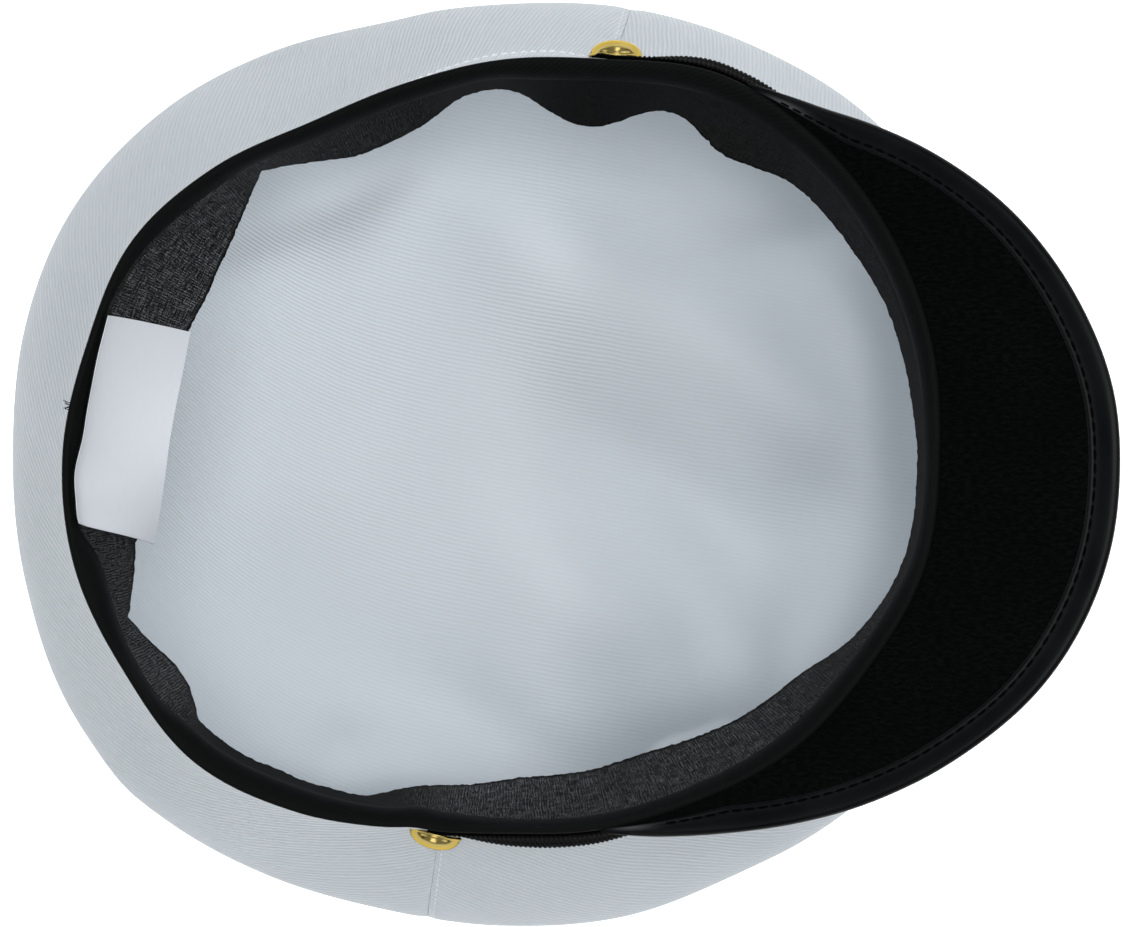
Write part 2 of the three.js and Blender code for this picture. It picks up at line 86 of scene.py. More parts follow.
# dents and soft folds of the side wall: angle, half width, depth, how far down the wall
SIDE_DENTS = [
    (121, 9, -2.2, 0.72), (99, 7, 1.4, 0.70), (52, 8, -1.6, 0.70), (150, 12, -1.2, 0.60),
    (200, 14, -1.4, 0.55), (221, 6, 1.4, 0.80), (243, 8, -1.5, 0.66), (294, 7, -2.4, 0.62),
    (306, 6, 1.5, 0.74), (345, 10, -1.2, 0.70), (20, 10, 1.0, 0.72),
]

# folds of the top panel, from AXIS: x, y, direction, half length, half width, height
TOP_FOLDS = [
    (8.6, -57.3, 93, 32.3, 18.8, 7.78), (5.8, 41.0, 82, 47.8, 24.3, 6.98),
    (1.8, 12.6, 69, 67.4, 29.4, 6.74), (13.1, 45.9, 136, 30.9, 14.7, 6.50),
    (44.9, 20.2, 73, 62.1, 29.8, 5.88), (70.8, 10.5, 140, 42.5, 11.7, 5.84),
    (36.2, -42.9, 164, 59.7, 20.2, 5.72), (-69.0, -78.8, 177, 60.0, 9.5, 5.27),
    (16.6, -30.5, 140, 27.0, 12.4, 4.54), (33.1, -3.4, 145, 32.5, 10.8, -4.54),
    (-22.1, 81.9, 17, 58.0, 10.0, 4.54), (80.3, 53.3, 102, 8.1, 29.9, -4.41),
    (43.0, -76.3, 29, 27.4, 11.2, -4.41), (-14.9, 76.3, 153, 42.0, 11.0, -4.22),
    (27.1, 84.3, 160, 57.9, 8.6, 4.12), (73.8, -11.9, 139, 14.4, 21.1, -4.03),
    (-39.5, 58.2, 30, 18.6, 9.0, 4.00), (69.2, -47.4, 78, 27.0, 9.6, -3.78),
    (40.4, 75.1, 170, 41.4, 10.1, -3.63), (-80.8, -39.1, 136, 51.1, 22.8, -3.58),
    (-54.5, 52.3, 31, 49.8, 10.6, -3.49), (49.3, -13.7, 114, 32.5, 11.5, -3.40),
    (-45.2, 59.3, 24, 24.6, 5.4, 3.24), (51.8, -60.2, 114, 31.5, 7.6, -3.08),
    (6.3, -68.5, 149, 25.1, 9.2, -2.88), (37.3, -71.8, 144, 21.8, 10.5, -2.87),
    (-48.7, 66.6, 33, 16.3, 10.3, 2.82), (90.1, 25.1, 100, 26.6, 10.1, 2.80),
    (-39.2, -72.5, 84, 8.0, 7.4, -2.77), (-15.3, 72.3, 160, 40.0, 11.3, 2.65),
    (57.6, -44.2, 16, 25.1, 11.7, -2.53), (39.8, -59.8, 116, 29.0, 12.1, -2.41),
    (-35.5, 61.9, 44, 20.4, 9.4, 2.40), (-46.3, -9.0, 114, 13.2, 27.1, 1.38),
    (52.6, -35.3, 153, 28.5, 14.2, -0.59),
]
TOP_BASE, TOP_FLAT, TOP_RISE = 4.0, 14.0, 34.0

# free edge of the sweatband: angle, how far inside the rim it stands
BAND_EDGE = np.array([
    (0.7, 3.0), (6.2, 4.2), (14.6, 5.2), (21.8, 5.8), (28.2, 7.1), (34.2, 8.0), (40.6, 8.8),
    (44.1, 9.6), (48.0, 12.3), (52.4, 14.5), (56.0, 14.4), (58.5, 12.2), (61.6, 9.8), (65.8, 9.2),
    (67.9, 10.7), (71.1, 13.3), (74.0, 14.5), (78.3, 13.4), (82.8, 9.9), (87.1, 5.6), (91.0, 4.2),
    (96.6, 4.4), (102.0, 8.0), (107.8, 9.6), (116.2, 9.5), (121.7, 7.0), (130.2, 3.9), (134.8, 8.9),
    (142.2, 15.2), (148.9, 18.8), (152.2, 20.0), (158.2, 19.3), (167.7, 20.6), (177.1, 21.6), (186.1, 19.8),
    (190.4, 16.5), (193.5, 12.6), (196.5, 11.2), (200.0, 8.4), (203.4, 4.4), (207.7, 6.1), (212.7, 8.7), (217.0, 8.6),
    (221.1, 5.2), (226.8, 5.6), (231.0, 5.4), (234.0, 6.2), (237.5, 5.3), (242.7, 5.4), (248.7, 4.6), (251.6, 6.7),
    (256.1, 8.5), (266.3, 9.4), (275.1, 11.3), (285.8, 12.1), (294.9, 13.1), (305.4, 12.1),
    (316.0, 11.1), (323.7, 10.0), (332.1, 5.2), (339.3, 3.8), (345.5, 3.2), (352.5, 3.0),
])
BAND_WIDTH = 28.0
# where the free edge turns a corner, and one small nick in it
BAND_CORNERS = [130.2, 158.2, 193.5, 203.4, 221.1]
# creases along it: from angle, to angle, share of the width at each, depth
BAND_CREASES = [(262, 288, 0.30, 0.62, 0.40), (268, 312, 0.22, 0.34, 0.35), (300, 334, 0.60, 0.40, 0.30), (322, 340, 0.25, 0.15, 0.45), (12, 40, 0.45, 0.30, 0.25), (196, 214, 0.5, 0.35, 0.25)]
BAND_NICK = dict(deg=56.5, wide=0.35, deep=0.55)
# free side of the label: angle, how far inside the rim
LABEL_EDGE = np.array([(158.4, 19.5), (163.0, 20.5), (167.7, 21.4), (172.4, 22.1), (177.1, 22.4), (181.7, 22.1), (186.1, 21.0), (190.4, 19.2), (194.4, 16.7), (197.0, 14.6)])

# black tape inside the rim: angle, how wide it shows from above
TAPE_WIDE = np.array([
    (0, 3.2), (20, 3.9), (40, 4.4), (55, 5.0), (70, 4.6), (85, 4.4), (91, 3.6), (98, 3.7), (105, 3.8),
    (120, 3.6), (130, 3.3), (140, 3.7), (150, 3.4), (156, 2.6), (159, 2.1), (162.3, 2.3), (166.5, 2.9), (171, 3.5), (174, 3.9), (178, 3.7), (180.5, 2.9), (182.5, 2.3), (186, 2.2), (189.5, 2.4), (191.5, 3.6), (194, 5.0),
    (198, 5.2), (203.4, 3.9), (208, 3.0), (213, 2.7), (217, 3.2), (221, 4.7), (226, 5.1), (234, 5.3), (243, 4.9),
    (249, 4.3), (258, 4.2), (270, 2.9), (285, 3.0), (300, 3.4), (320, 4.0), (340, 3.6),
])
# how clearly the tape's ribs show: angle, share
TAPE_RIBS = np.array([(0, 0.25), (40, 0.5), (60, 1.0), (105, 1.0), (125, 0.5), (150, 0.12), (235, 0.12), (262, 0.4), (300, 0.35), (330, 0.2)])

# how open the sweatband's weave looks: angle, share
OPENNESS = np.array([
    (0, 0.15), (25, 0.25), (50, 0.15), (75, 0.08), (94, 0.08), (103, 0.30), (114, 0.50), (122, 0.45), (134, 0.85),
    (150, 1.0), (165, 1.0), (190, 0.8), (200, 0.80), (212, 0.95), (219, 0.7), (224, 0.05), (250, 0.05), (260, 0.80),
    (275, 1.0), (290, 0.80), (305, 0.85), (318, 0.85), (330, 0.55), (345, 0.35),
])

# painted light and shade round the band: how much its threads' colour is lightened at each angle, lighter where the
# band shows lit and darker where it lies in shade: angle, share
WEAVE_PAINTED_LIGHT = np.array([
    (0, 0.25), (25, 0.32), (42, 0.35), (55, 0.25), (75, 0.15), (95, 0.2), (112, 0.55), (134, 0.9), (150, 1.0), (190, 0.8),
    (205, 0.8), (218, 0.9), (224, 0.12), (250, 0.12), (260, 0.95), (275, 0.90), (290, 0.75), (310, 0.65), (330, 0.45),
])

# outer edge of the peak: angle, plan distance from the rim
PEAK_REACH = np.array([
    (-75.0, 1.2), (-69.7, 3.1), (-62.9, 6.3), (-55.9, 10.2), (-48.9, 14.6), (-41.9, 19.6),
    (-34.9, 24.9), (-24.9, 31.4), (-15.0, 34.9), (-5.0, 37.0), (5.0, 36.2), (14.9, 31.4),
    (24.9, 24.8), (34.9, 16.2), (41.9, 9.7), (46.9, 5.4), (52.4, 2.4), (56.2, 1.2),
])
PEAK = dict(thick=1.6, slope=36.0, binding=7.0)

# strap over the front: angle, how far it stands out past the rim
STRAP_OUT = np.array([
    (-101.2, -0.2), (-99.7, 0.3), (-97.4, 1.0), (-95.2, 1.9), (-89.8, 3.6), (-84.6, 4.2), (-80.3, 4.2), (-76.2, 4.0), (-71.0, 3.4), (-60.0, 2.2),
    (-40.0, 2.0), (0.0, 2.0), (30.0, 2.2), (45.0, 3.0), (52.0, 3.5), (57.9, 3.5), (63.1, 3.4), (68.0, 2.1), (70.5, 1.1), (73.0, 0.35),
])
STRAP = dict(wide=9.8, thick=1.5, top=2.0, tongue=0.5)
BUTTON = dict(radius=6.2, dome=3.6, foot=0.5, below=8.4)
SEAM = dict(front=74.0, back=260.7, button_front=73.6, button_back=260.3)

# the hem that shows beside the left button: angle, how far it stands out
HEM = np.array([(0, 0.0), (70, 0.0), (76, 1.2), (82, 1.9), (92, 1.8), (99, 1.0), (106, 0.2), (112, 0.0), (200, 0.0)])

LABEL = dict(top_from=160.4, top_to=189.2, low_from=158.4, low_to=194.4)

# ribs of the side panels: angle, how far they lean from the rim's own direction
GRAIN_BACK = np.array([(74, 66), (90, 68), (99, 68), (110, 62), (120, 52), (146, 44), (166, 34), (182, 32), (200, 26), (225, 22), (261, 14)])
GRAIN_FRONT = np.array([(-99.3, -20), (74, -78)])

# direction of the top panel's twill: x, slope of its lines in degrees below the horizontal
TWILL = np.array([(-125, 50), (-95, 47), (-83, 40), (-59, 27), (-40, 18), (-23, 12), (13, 10), (50, 9), (125, 7)])
WALE = 1.02


# ---------------------------------------------------------------- helpers

def ring(rows, column, deg):
    """Smooth value of a column at angles, through the rows of a table that closes on itself."""
    rows = rows[np.argsort(rows[:, 0])]
    a, y = rows[:, 0], rows[:, column]
    n = len(a)
    deg = np.asarray(deg, float)
    q = (deg - a[0]) % 360 + a[0]
    i = np.clip(np.searchsorted(a, q, side="right") - 1, 0, n - 1)

    def at(k):
        return y[k % n]

    def gap(k):
        return (a[(k + 1) % n] - a[k % n]) % 360

    step, before, after = gap(i), gap(i - 1), gap(i + 1)
    t = (q - a[i]) / step
    y0, y1, y2, y3 = at(i - 1), at(i), at(i + 1), at(i + 2)
    m1 = step * ((y2 - y1) / step * before + (y1 - y0) / before * step) / (before + step)
    m2 = step * ((y3 - y2) / after * step + (y2 - y1) / step * after) / (after + step)
    return (2 * t**3 - 3 * t**2 + 1) * y1 + (t**3 - 2 * t**2 + t) * m1 + (3 * t**2 - 2 * t**3) * y2 + (t**3 - t**2) * m2


def ring_straight(rows, column, deg):
    """The same, in straight steps, which keeps the table's corners."""
    rows = rows[np.argsort(rows[:, 0])]
    a = np.concatenate([rows[:, 0] - 360, rows[:, 0], rows[:, 0] + 360])
    return np.interp(np.asarray(deg, float) % 360, a, np.tile(rows[:, column], 3))


def along(rows, column, deg):
    """Smooth value along a table that has two ends."""
    a, y = rows[:, 0], rows[:, column]
    last = len(a) - 1
    deg = np.clip(np.asarray(deg, float), a[0], a[-1])
    i = np.clip(np.searchsorted(a, deg, side="right") - 1, 0, last - 1)
    t = (deg - a[i]) / (a[i + 1] - a[i])

    step = np.diff(a)
    slope = np.diff(y) / step
    lean = np.empty(last + 1)
    lean[0], lean[-1] = slope[0], slope[-1]
    lean[1:-1] = (slope[:-1] * step[1:] + slope[1:] * step[:-1]) / (step[1:] + step[:-1])
    m1, m2 = step[i] * lean[i], step[i] * lean[i + 1]
    return (2 * t**3 - 3 * t**2 + 1) * y[i] + (t**3 - 2 * t**2 + t) * m1 + (3 * t**2 - 2 * t**3) * y[i + 1] + (t**3 - t**2) * m2


def smooth(x, a, b):
    t = np.clip((np.asarray(x, float) - a) / (b - a), 0, 1)
    return t * t * (3 - 2 * t)


def turn(a):
    """An angle brought to -180..180."""
    return (np.asarray(a, float) + 180) % 360 - 180


def waves(x, seed, period, count=5):
    """A smooth, repeatable wobble of about -1..1 that closes over the period."""
    r = np.random.default_rng(seed)
    out, total = 0.0, 0.0
    for k in r.integers(1, 9, count):
        w = 1.0 / (1 + 0.25 * k)
        out = out + w * np.sin(2 * np.pi * k * np.asarray(x) / period + r.random() * 6.283)
        total += w
    return out / total * 1.6


def place(deg, r, z):
    deg, r, z = np.broadcast_arrays(np.radians(deg), r, z)
    return np.stack([AXIS[0] + r * np.cos(deg), AXIS[1] + r * np.sin(deg), z], -1)


def rim_r(deg):
    return ring(SECTIONS, RIM, deg)


def rim_z(deg):
    return 79.0 + 7.0 * np.cos(np.radians(np.asarray(deg, float) + 3.5))


def crown_r(deg):
    return ring(SECTIONS, CROWN, deg)


def crown_z(deg):
    return ring(SECTIONS, CROWN_Z, deg)


def run_length(deg):
    """Length along the rim at each angle."""
    fine = np.linspace(-180, 540, 2881)
    p = place(fine, rim_r(fine), 0)
    s = np.concatenate([[0], np.cumsum(np.linalg.norm(np.diff(p, axis=0), axis=1))])
    return np.interp(deg, fine, s) - np.interp(0, fine, s)


RIM_LENGTH = float(run_length(360))


# ---------------------------------------------------------------- meshes

def make_mesh(name, points, faces, corner_maps=None, material=None, face_material=None, sharp=50, body="root"):
    """points in mm; faces is (n, 4) or (n, 3); corner_maps is name -> (corners, 2)."""
    points = np.asarray(points, np.float64) * MM
    mesh = bpy.data.meshes.new(name)
    faces = [np.asarray(f, np.int32) for f in (faces if isinstance(faces, list) else [faces])]
    corners = np.concatenate([f.ravel() for f in faces])
    sizes = np.concatenate([np.full(len(f), f.shape[1], np.int32) for f in faces])
    mesh.vertices.add(len(points))
    mesh.vertices.foreach_set("co", points.astype(np.float32).ravel())
    mesh.loops.add(len(corners))
    mesh.loops.foreach_set("vertex_index", corners)
    mesh.polygons.add(len(sizes))
    mesh.polygons.foreach_set("loop_start", np.concatenate([[0], np.cumsum(sizes)[:-1]]).astype(np.int32))
    mesh.polygons.foreach_set("loop_total", sizes)
    for key, values in (corner_maps or {}).items():
        layer = mesh.uv_layers.new(name=key)
        layer.uv.foreach_set("vector", np.asarray(values, np.float32).ravel())
    if face_material is not None:
        mesh.polygons.foreach_set("material_index", np.asarray(face_material, np.int32))
    mesh.update(calc_edges=True)
    mesh.validate()
    mesh.polygons.foreach_set("use_smooth", np.ones(len(mesh.polygons), bool))
    if sharp:
        mesh.set_sharp_from_angle(angle=math.radians(sharp))
    ob = bpy.data.objects.new(name, mesh)
    bpy.context.scene.collection.objects.link(ob)
    for m in (material if isinstance(material, (list, tuple)) else [material]):
        if m is not None:
            mesh.materials.append(m)
    if body:
        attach(ob, body)
    return ob


def loft(P, closed_u, closed_v, maps=None, caps=True):
    """Quads over a grid P (n, m, 3). maps: name -> (n + closed_u, m + closed_v, 2) corner values.
    An open run whose section closes gets end caps. Faces are turned outward. Returns points, faces, corner maps."""
    n, m = P.shape[:2]
    iu = np.arange(n if closed_u else n - 1)
    iv = np.arange(m if closed_v else m - 1)
    U, V = np.meshgrid(iu, iv, indexing="ij")
    U, V = U.ravel(), V.ravel()
    U1, V1 = (U + 1) % n, (V + 1) % m
    quads = np.stack([U * m + V, U1 * m + V, U1 * m + V1, U * m + V1], 1)
    cm = {}
    for key, val in (maps or {}).items():
        cm[key] = np.stack([val[U, V], val[U + 1, V], val[U + 1, V + 1], val[U, V + 1]], 1)
    if caps and closed_v and not closed_u:
        k = np.arange(m // 2 - 1)
        first = np.stack([k, k + 1, m - 2 - k, m - 1 - k], 1)
        e = (n - 1) * m
        last = np.stack([e + m - 1 - k, e + m - 2 - k, e + k + 1, e + k], 1)
        quads = np.concatenate([quads, first, last])
        for key, val in (maps or {}).items():
            f = np.stack([val[0, k], val[0, k + 1], val[0, m - 2 - k], val[0, m - 1 - k]], 1)
            g = np.stack([val[n - 1, m - 1 - k], val[n - 1, m - 2 - k], val[n - 1, k + 1], val[n - 1, k]], 1)
            cm[key] = np.concatenate([cm[key], f, g])
    pts = P.reshape(-1, 3)
    a, b, c, d = (pts[quads[:, i]] for i in range(4))
    vol = np.einsum("ij,ij->i", a, np.cross(b, c)).sum() + np.einsum("ij,ij->i", a, np.cross(c, d)).sum()
    if vol < 0:
        quads = quads[:, ::-1]
        cm = {key: v[:, ::-1] for key, v in cm.items()}
    return pts, quads, {key: v.reshape(-1, 2) for key, v in cm.items()}


def shell(outer, inner, edge=0.35):
    """Section loops of a cloth: along outer (n, m, 3), a rounded edge, back along inner, a rounded edge."""
    def bulge(a, b, before):
        mid = (a + b) / 2
        out = a - before
        out = out / np.maximum(np.linalg.norm(out, axis=-1, keepdims=True), 1e-6)
        return mid + out * np.linalg.norm(b - a, axis=-1, keepdims=True) * edge
    end = bulge(outer[:, -1], inner[:, -1], outer[:, -2])[:, None]
    start = bulge(outer[:, 0], inner[:, 0], outer[:, 1])[:, None]
    return np.concatenate([outer, end, inner[:, ::-1], start], 1)


def shell_map(u, v, m, closed_u):
    """Corner values for shell(): u (n[+1],), v (m,) the same on both faces."""
    vv = np.concatenate([v, [v[-1]], v[::-1], [v[0]], [v[0]]])
    return np.stack(np.broadcast_arrays(u[:, None], vv[None, :]), -1)


def shell_values(val):
    """The same for a value already known at (n[+1], m)."""
    return np.concatenate([val, val[:, -1:], val[:, ::-1], val[:, :1], val[:, :1]], 1)


def normals(P, closed_u=True):
    """Unit normals of a grid (n, m, 3)."""
    du = (np.roll(P, -1, 0) - np.roll(P, 1, 0)) if closed_u else np.gradient(P, axis=0)
    dv = np.gradient(P, axis=1)
    k = np.cross(du, dv)
    return k / np.maximum(np.linalg.norm(k, axis=-1, keepdims=True), 1e-9)


def joined(parts):
    """Several (points, faces, maps) made one."""
    pts, faces, maps, base = [], [], {}, 0
    for p, f, m in parts:
        pts.append(p)
        faces.append(f + base)
        base += len(p)
        for key, v in m.items():
            maps.setdefault(key, []).append(v)
    return np.concatenate(pts), np.concatenate(faces), {k: np.concatenate(v) for k, v in maps.items()}


def capsules(starts, ends, radius, sides=8, ups=None, flat=1.0):
    """Short threads with round ends, one for each start and end."""
    rings = [(-1.0, 0.02), (-0.82, 0.62), (-0.4, 0.95), (0.0, 1.0), (None, None)]
    parts = []
    for i, (a, b) in enumerate(zip(starts, ends)):
        d = b - a
        length = np.linalg.norm(d)
        if length < 1e-6:
            continue
        d = d / length
        up = np.array([0, 0, 1.0]) if ups is None else ups[i]
        side = np.cross(d, up)
        side = side / max(np.linalg.norm(side), 1e-9)
        up = np.cross(side, d)
        rows = []
        for t, w in [(0.0, 0.05), (0.05, 0.6), (0.16, 0.92), (0.34, 1.0), (0.66, 1.0), (0.84, 0.92), (0.95, 0.6), (1.0, 0.05)]:
            q = np.linspace(0, 2 * np.pi, sides, endpoint=False)
            sag = math.sin(math.pi * t) * radius * 0.6 - radius * 0.3
            rows.append(a + d * length * t + up * sag + radius * w * (np.cos(q)[:, None] * side + flat * np.sin(q)[:, None] * up))
        P = np.stack(rows)
        n = len(rows)
        pts, quads, _ = loft(P, False, True, caps=False)
        cap0 = np.arange(sides)
        cap1 = cap0 + (n - 1) * sides
        # close both tiny ends with quads of a fan
        f0 = np.stack([cap0[:-3:1] * 0 + cap0[0], cap0[1:-2], cap0[2:-1], cap0[3:]], 1)[::2]
        f1 = np.stack([cap1[:-3:1] * 0 + cap1[0], cap1[1:-2], cap1[2:-1], cap1[3:]], 1)[::2]
        s0 = np.cross(P[0, 1] - P[0, 0], P[0, 2] - P[0, 0]) @ d
        f0 = f0 if s0 < 0 else f0[:, ::-1]
        f1 = f1 if s0 > 0 else f1[:, ::-1]
        v = {}
        parts.append((pts, np.concatenate([quads, f0, f1]), v))
    return joined(parts)


def tube(path, radius, sides=8, closed=False):
    """A thread along points (n, 3)."""
    path = np.asarray(path, float)
    if closed:
        t = np.roll(path, -1, 0) - np.roll(path, 1, 0)
    else:
        t = np.gradient(path, axis=0)
    t = t / np.linalg.norm(t, axis=1, keepdims=True)
    up = np.array([0.13, 0.21, 0.97])
    side = np.cross(t, up)
    side /= np.linalg.norm(side, axis=1, keepdims=True)
    up = np.cross(side, t)
    q = np.linspace(0, 2 * np.pi, sides, endpoint=False)
    radius = np.broadcast_to(radius, (len(path),))
    P = path[:, None] + radius[:, None, None] * (np.cos(q)[None, :, None] * side[:, None] + np.sin(q)[None, :, None] * up[:, None])
    return loft(P, closed, True)


# ---------------------------------------------------------------- finishes

class Nodes:
    """Small helper for writing a node tree."""

    def __init__(self, name):
        self.m = bpy.data.materials.new(name)
        self.m.use_nodes = True
        self.t = self.m.node_tree
        self.t.nodes.clear()
        self.out = self.t.nodes.new("ShaderNodeOutputMaterial")

    def add(self, kind, **values):
        n = self.t.nodes.new(kind)
        for key, value in values.items():
            setattr(n, key, value)
        return n

    def link(self, a, b):
        self.t.links.new(a, b)

    def put(self, socket, value):
        if hasattr(value, "links"):
            self.link(value, socket)
        elif value is not None:
            socket.default_value = value

    def maths(self, op, a, b=None, c=None, clamp=False):
        n = self.add("ShaderNodeMath", operation=op, use_clamp=clamp)
        self.put(n.inputs[0], a)
        if b is not None:
            self.put(n.inputs[1], b)
        if c is not None:
            self.put(n.inputs[2], c)
        return n.outputs[0]

    def uv(self, name):
        return self.add("ShaderNodeUVMap", uv_map=name).outputs[0]

    def xyz(self, vector):
        n = self.add("ShaderNodeSeparateXYZ")
        self.link(vector, n.inputs[0])
        return n.outputs

    def vector(self, x, y, z=0.0):
        n = self.add("ShaderNodeCombineXYZ")
        for s, v in zip(n.inputs, (x, y, z)):
            self.put(s, v)
        return n.outputs[0]

    def place(self):
        return self.add("ShaderNodeTexCoord").outputs["Object"]

    def noise(self, vector, scale, detail=2.0, rough=0.5):
        n = self.add("ShaderNodeTexNoise")
        self.link(vector, n.inputs["Vector"])
        n.inputs["Scale"].default_value = scale
        n.inputs["Detail"].default_value = detail
        n.inputs["Roughness"].default_value = rough
        return n.outputs["Fac"]

    def ramp(self, value, low, high, to_low=0.0, to_high=1.0):
        n = self.add("ShaderNodeMapRange", clamp=True)
        self.put(n.inputs["Value"], value)
        for key, v in (("From Min", low), ("From Max", high), ("To Min", to_low), ("To Max", to_high)):
            n.inputs[key].default_value = v
        return n.outputs["Result"]

    def mix(self, factor, a, b):
        n = self.add("ShaderNodeMix", data_type="RGBA")
        self.put(n.inputs["Factor"], factor)
        for key, v in (("A", a), ("B", b)):
            s = next(i for i in n.inputs if i.name == key and i.type == "RGBA")
            self.put(s, v if hasattr(v, "links") else (*v, 1.0))
        return next(o for o in n.outputs if o.type == "RGBA")

    def bump(self, height, strength, distance, normal=None):
        n = self.add("ShaderNodeBump")
        n.inputs["Strength"].default_value = strength
        n.inputs["Distance"].default_value = distance
        self.link(height, n.inputs["Height"])
        if normal is not None:
            self.link(normal, n.inputs["Normal"])
        return n.outputs[0]

    def principled(self, **values):
        p = self.add("ShaderNodeBsdfPrincipled")
        for key, value in values.items():
            s = p.inputs[key.replace("_", " ")]
            self.put(s, (*value, 1.0) if isinstance(value, tuple) and len(value) == 3 else value)
        self.link(p.outputs[0], self.out.inputs["Surface"])
        return p


def twill_cloth(name, tone, wale_depth=0.10, groove_shade=0.10, pulled=False):
    """White cotton twill: ribs along the lines of the map `twill` (x counts ribs, y is mm along them)."""
    k = Nodes(name)
    x, y, _ = k.xyz(k.uv("twill"))
    where = k.place()
    # a little waver, so that no rib is ruled straight
    waver = k.maths("MULTIPLY", k.maths("SUBTRACT", k.noise(where, 90, 2), 0.5), 0.9)
    phase = k.maths("ADD", x, waver)
    rib = k.maths("SINE", k.maths("MULTIPLY", phase, 2 * math.pi))
    rib = k.ramp(rib, -1.0, 0.75)
    # the rib's own floats: short oblique threads
    floats = k.maths("SINE", k.maths("MULTIPLY_ADD", y, 2 * math.pi / 0.55, k.maths("MULTIPLY", phase, 2 * math.pi)))
    yarn = k.noise(k.vector(k.maths("MULTIPLY", x, 0.9), k.maths("MULTIPLY", y, 0.35)), 1.7, 3, 0.6)
    # how strongly the ribs show comes and goes over the cloth
    shows = k.ramp(k.noise(where, 22, 2), 0.30, 0.62, 0.55, 1.0)
    if pulled:
        # the top is pulled flat toward its front and right, and its ribs stand up most at the left and back; the
        # painted shade in the grooves follows the same share
        px, py, _ = k.xyz(where)
        stand = k.maths("MULTIPLY", k.ramp(px, -0.045, -0.015, 0.75, 0.0), k.ramp(py, -0.035, -0.012, 0.0, 1.0))
        calm = k.maths("MULTIPLY", k.ramp(py, -0.045, -0.010, 0.38, 0.72), k.ramp(px, 0.000, 0.040, 1.0, 0.50))
        shows = k.maths("MULTIPLY", shows, k.maths("MULTIPLY", calm, k.maths("ADD", stand, 1.0)))
    rib_shown = k.maths("MULTIPLY", rib, shows)
    height = k.maths("ADD", rib_shown, k.maths("ADD", k.maths("MULTIPLY", floats, 0.05), k.maths("MULTIPLY", yarn, 0.30)))
    fine = k.bump(height, 1.0, wale_depth * MM)
    # painted shade: the grooves between the ribs are coloured darker and a little bluer, as far as the ribs show
    dark = tuple(c * (1 - groove_shade) * f for c, f in zip(tone, (0.985, 0.992, 1.0)))
    colour = k.mix(rib_shown, dark, tone)
    cloud = k.ramp(k.noise(where, 14, 3), 0.3, 0.7, 0.965, 1.0)
    colour2 = k.add("ShaderNodeMix", data_type="RGBA", blend_type="MULTIPLY")
    colour2.inputs["Factor"].default_value = 1.0
    sa = [i for i in colour2.inputs if i.type == "RGBA"]
    k.link(colour, sa[0])
    grey = k.add("ShaderNodeCombineColor")
    for i in range(3):
        k.link(cloud, grey.inputs[i])
    k.link(grey.outputs[0], sa[1])
    k.principled(
        Base_Color=next(o for o in colour2.outputs if o.type == "RGBA"),
        Roughness=k.ramp(yarn, 0.3, 0.7, 0.78, 0.92),
        Normal=fine,
        Specular_IOR_Level=0.25,
        Sheen_Weight=0.12,
        Sheen_Roughness=0.5,
    )
    return k.m


def ribbed_tape(name):
    """Black cotton tape with fine slanted ribs. Map `cloth` is mm along and across."""
    k = Nodes(name)
    u, v, _ = k.xyz(k.uv("cloth"))
    where = k.place()
    shows, _, _ = k.xyz(k.uv("ribs"))
    rib = k.maths("SINE", k.maths("MULTIPLY", k.maths("SUBTRACT", k.maths("MULTIPLY", u, 0.60), k.maths("MULTIPLY", v, 0.75)), 2 * math.pi / 1.0))
    weave = k.noise(k.vector(k.maths("MULTIPLY", u, 3.0), k.maths("MULTIPLY", v, 3.0)), 1.0, 2)
    height = k.maths("ADD", k.maths("MULTIPLY", rib, k.maths("MULTIPLY", shows, 0.22)), k.maths("MULTIPLY", weave, 0.6))
    # its colour follows the same height: random tone from the weave, and painted shade in the grooves between the ribs
    tone = k.mix(k.ramp(height, -0.3, 0.8), (0.0026, 0.0029, 0.0029), (0.0078, 0.0084, 0.0086))
    k.principled(
        Base_Color=tone,
        Roughness=k.ramp(weave, 0.3, 0.7, 0.60, 0.80),
        Normal=k.bump(height, 0.8, 0.12 * MM),
        Specular_IOR_Level=0.05,
    )
    return k.m


